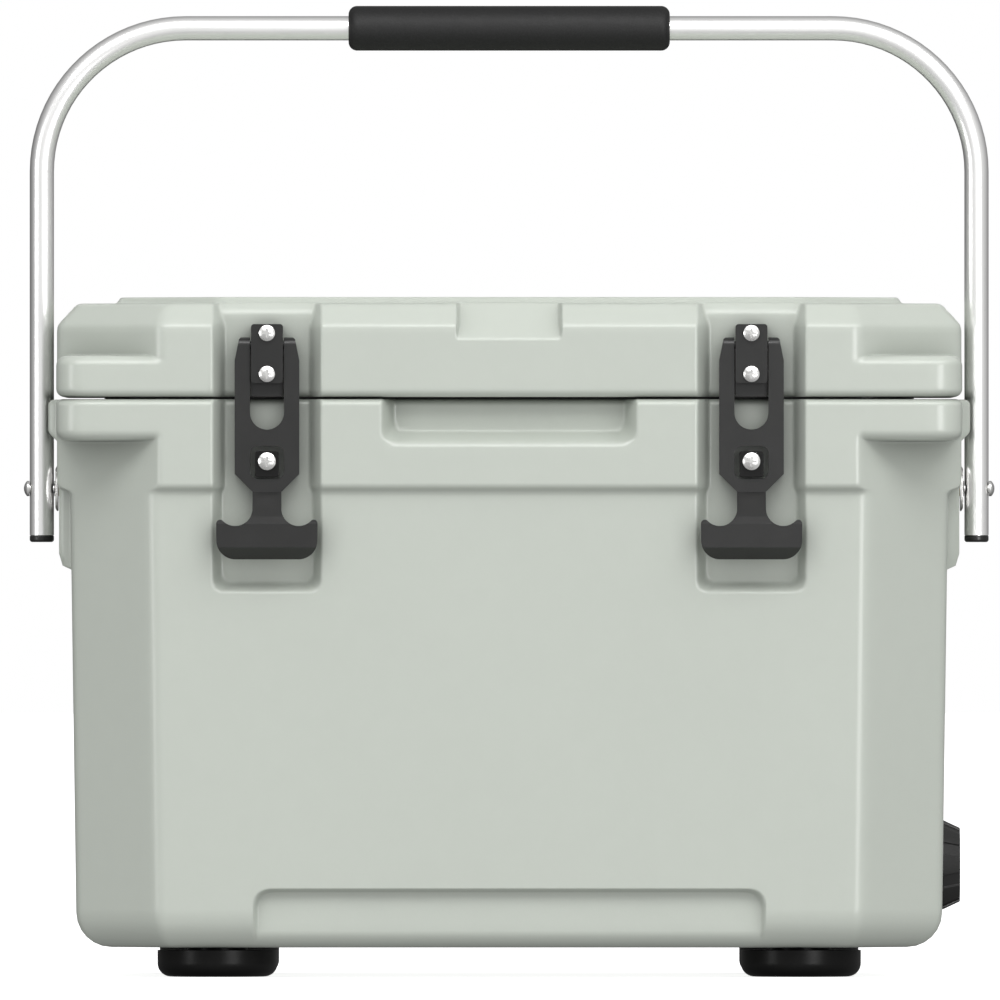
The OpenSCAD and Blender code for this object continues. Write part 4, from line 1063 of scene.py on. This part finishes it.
class COOLER_OT_bail(bpy.types.Operator):
    """Finish the bail with its grip, end caps and pivots"""
    bl_idname = "cooler.bail"
    bl_label = "Bail"

    def execute(self, context):
        finish_nodes("tube", "handle_tube")
        finish_nodes("grip", "handle_grip")
        for side in ("left", "right"):
            rounded_copy("handle_cap_" + side, "end_cap_" + side, "bail",
                         "black", 1.1)
            finish_nodes("black", "pivot_spacer_" + side)
            finish_nodes("steel", "pivot_plate_" + side, "pivot_bolt_" + side)
        return {"FINISHED"}


class COOLER_OT_feet(bpy.types.Operator):
    """Finish the four rubber feet and their screws"""
    bl_idname = "cooler.feet"
    bl_label = "Feet"

    def execute(self, context):
        finish_nodes("foot", *("foot_%s_%s" % (row, side) for row in ("front", "rear")
                                 for side in ("left", "right")))
        finish_nodes("steel", "foot_screws")
        return {"FINISHED"}


class COOLER_OT_drain(bpy.types.Operator):
    """Build the drain's fitting, nut, seals and plug"""
    bl_idname = "cooler.drain"
    bl_label = "Drain"

    def execute(self, context):
        rounded_copy("drain_plug", "drain_cap", "drain", "black", 0.8)
        rounded_copy("drain_fitting", "drain_flange", "body", "black", 0.5)
        finish_nodes("black", "drain_nut")
        finish_nodes("rubber", "drain_washer", "drain_seal")
        return {"FINISHED"}


class COOLER_OT_hinge(bpy.types.Operator):
    """Finish the hinge's rod and its end caps"""
    bl_idname = "cooler.hinge"
    bl_label = "Hinge"

    def execute(self, context):
        finish_nodes("steel", "hinge_rod")
        finish_nodes("black", "hinge_caps")
        return {"FINISHED"}


LIGHTS_AIM = 0, 0, 0.2
# name, place, width, height, watts; the sheens show only on rounded edges
LIGHTS = (("key_light", (0.3, -2.05, 2.65), 5.0, 1.4, 61),
          ("right_sheen", (1.35, -2.75, 0.3), 1.0, 1.2, 36),
          ("left_sheen", (-2.45, -1.75, 0.3), 0.6, 1.2, 16),
          ("top_sheen", (0.2, -2.2, 2.0), 3.0, 0.4, 26))
# the world's glow is a level, plus its slope along the way looked, and never under a least
GLOW_SLOPE = 0.08, -0.34, 0.19
GLOW_LEVEL = 0.47
GLOW_LEAST = 0.06

FLOOR_REACH = 30            # metres from the middle
FLOOR_GAP = 0.0002
CAMERA_DISTANCE = 24.5
CAMERA_RIGHT = -0.0048
CAMERA_HEIGHT = 0.2483
VIEW_WIDTH = 0.52           # of what is seen at the cooler's front face
SENSOR_WIDTH = 36


def soft_light(name, place, width, height, power):
    data = bpy.data.lights.new(name, "AREA")
    data.shape = "RECTANGLE"
    data.size, data.size_y, data.energy = width, height, power
    lamp = bpy.data.objects.new(name, data)
    bpy.context.scene.collection.objects.link(lamp)
    lamp.location = place
    way = Vector(LIGHTS_AIM) - Vector(place)
    lamp.rotation_euler = way.to_track_quat("-Z", "Y").to_euler()
    lamp.visible_diffuse = not name.endswith("sheen")


def studio_world():
    """White where it is seen; the light that it gives is brightest in front and above."""
    world = bpy.data.worlds.new("studio")
    sky = Nodes(world)
    way = sky.node("ShaderNodeTexCoord", out="Generated")
    slope = sky.node("ShaderNodeVectorMath", {"operation": "DOT_PRODUCT"},
                     {0: way, 1: GLOW_SLOPE}, out="Value")
    glow = sky.math("MAXIMUM", slope + GLOW_LEVEL, GLOW_LEAST)
    lit, seen = (sky.node("ShaderNodeBackground", sockets={
        "Color": (1, 1, 1, 1), "Strength": strength}) for strength in (glow, 1.0))
    by_eye = sky.node("ShaderNodeLightPath", out="Is Camera Ray")
    shown = sky.node("ShaderNodeMixShader", sockets={0: by_eye, 1: lit, 2: seen})
    sky.node("ShaderNodeOutputWorld", sockets={"Surface": shown})
    return world


class COOLER_OT_stage(bpy.types.Operator):
    """Set up the floor, the soft studio light and the camera"""
    bl_idname = "cooler.stage"
    bl_label = "Stage"

    def execute(self, context):
        scene = context.scene
        scene.view_settings.view_transform = "Standard"
        scene.view_settings.look = "None"

        bm = bmesh.new()
        bmesh.ops.create_grid(bm, x_segments=1, y_segments=1, size=FLOOR_REACH)
        bmesh.ops.translate(bm, verts=bm.verts, vec=(0, 0, CAD_BOX[0][2] - FLOOR_GAP))
        mesh = bpy.data.meshes.new("studio_floor")
        bm.to_mesh(mesh)
        bm.free()
        floor_finish = Finish("studio_floor")
        floor_shade = tuple(scene.cooler_colours.floor)
        mesh.materials.append(floor_finish.surface(
            Base_Color=floor_finish.blend(floor_finish.noise(3, 2), tint(floor_shade, 0.995),
                                          tint(floor_shade, 1.005)),
            Roughness=0.9, Specular_IOR_Level=0.1, Emission_Color=(1, 1, 1, 1),
            Emission_Strength=0.8))
        floor = bpy.data.objects.new("studio_floor", mesh)
        scene.collection.objects.link(floor)
        # the floor is seen, but it doesn't throw light back up under the belt and the base
        floor.visible_diffuse = False
        floor.visible_glossy = False

        scene.world = studio_world()
        for light in LIGHTS:
            soft_light(*light)

        camera = bpy.data.objects.new("camera", bpy.data.cameras.new("camera"))
        scene.collection.objects.link(camera)
        camera.location = (CAMERA_RIGHT, -CAMERA_DISTANCE, CAMERA_HEIGHT)
        camera.rotation_euler = (math.pi / 2, 0, 0)
        camera.data.sensor_width = SENSOR_WIDTH
        camera.data.lens = SENSOR_WIDTH * (CAMERA_DISTANCE - HALF_DEPTH * MM) / VIEW_WIDTH
        camera.data.clip_end = 200
        scene.camera = camera
        return {"FINISHED"}


class COOLER_PT_panel(bpy.types.Panel):
    """The cooler's builders and sizes"""
    bl_idname = "COOLER_PT_panel"
    bl_label = "Cooler"
    bl_space_type = "VIEW_3D"
    bl_region_type = "UI"
    bl_category = "Cooler"

    def draw(self, context):
        for operator in OPERATORS:
            self.layout.operator(operator.bl_idname)
        for name in GROUPS:
            group = getattr(context.scene, name)
            box = self.layout.box()
            for key in group.__annotations__:
                box.prop(group, key)


OPERATORS = (COOLER_OT_body, COOLER_OT_lid, COOLER_OT_cores, COOLER_OT_latches, COOLER_OT_bail,
             COOLER_OT_feet, COOLER_OT_drain, COOLER_OT_hinge, COOLER_OT_stage)
GROUPS = {"cooler_body": CoolerBodySizes, "cooler_lid": CoolerLidSizes,
          "cooler_colours": CoolerColours}


def register():
    for kind in (*GROUPS.values(), *OPERATORS, COOLER_PT_panel):
        bpy.utils.register_class(kind)
    for name, kind in GROUPS.items():
        setattr(bpy.types.Scene, name, PointerProperty(type=kind))


def unregister():
    for name in GROUPS:
        delattr(bpy.types.Scene, name)
    for kind in (COOLER_PT_panel, *reversed(OPERATORS), *reversed(GROUPS.values())):
        bpy.utils.unregister_class(kind)


def main():
    register()
    for operator in OPERATORS:
        group, name = operator.bl_idname.split(".")
        getattr(getattr(bpy.ops, group), name)()


if __name__ == "__main__":
    main()
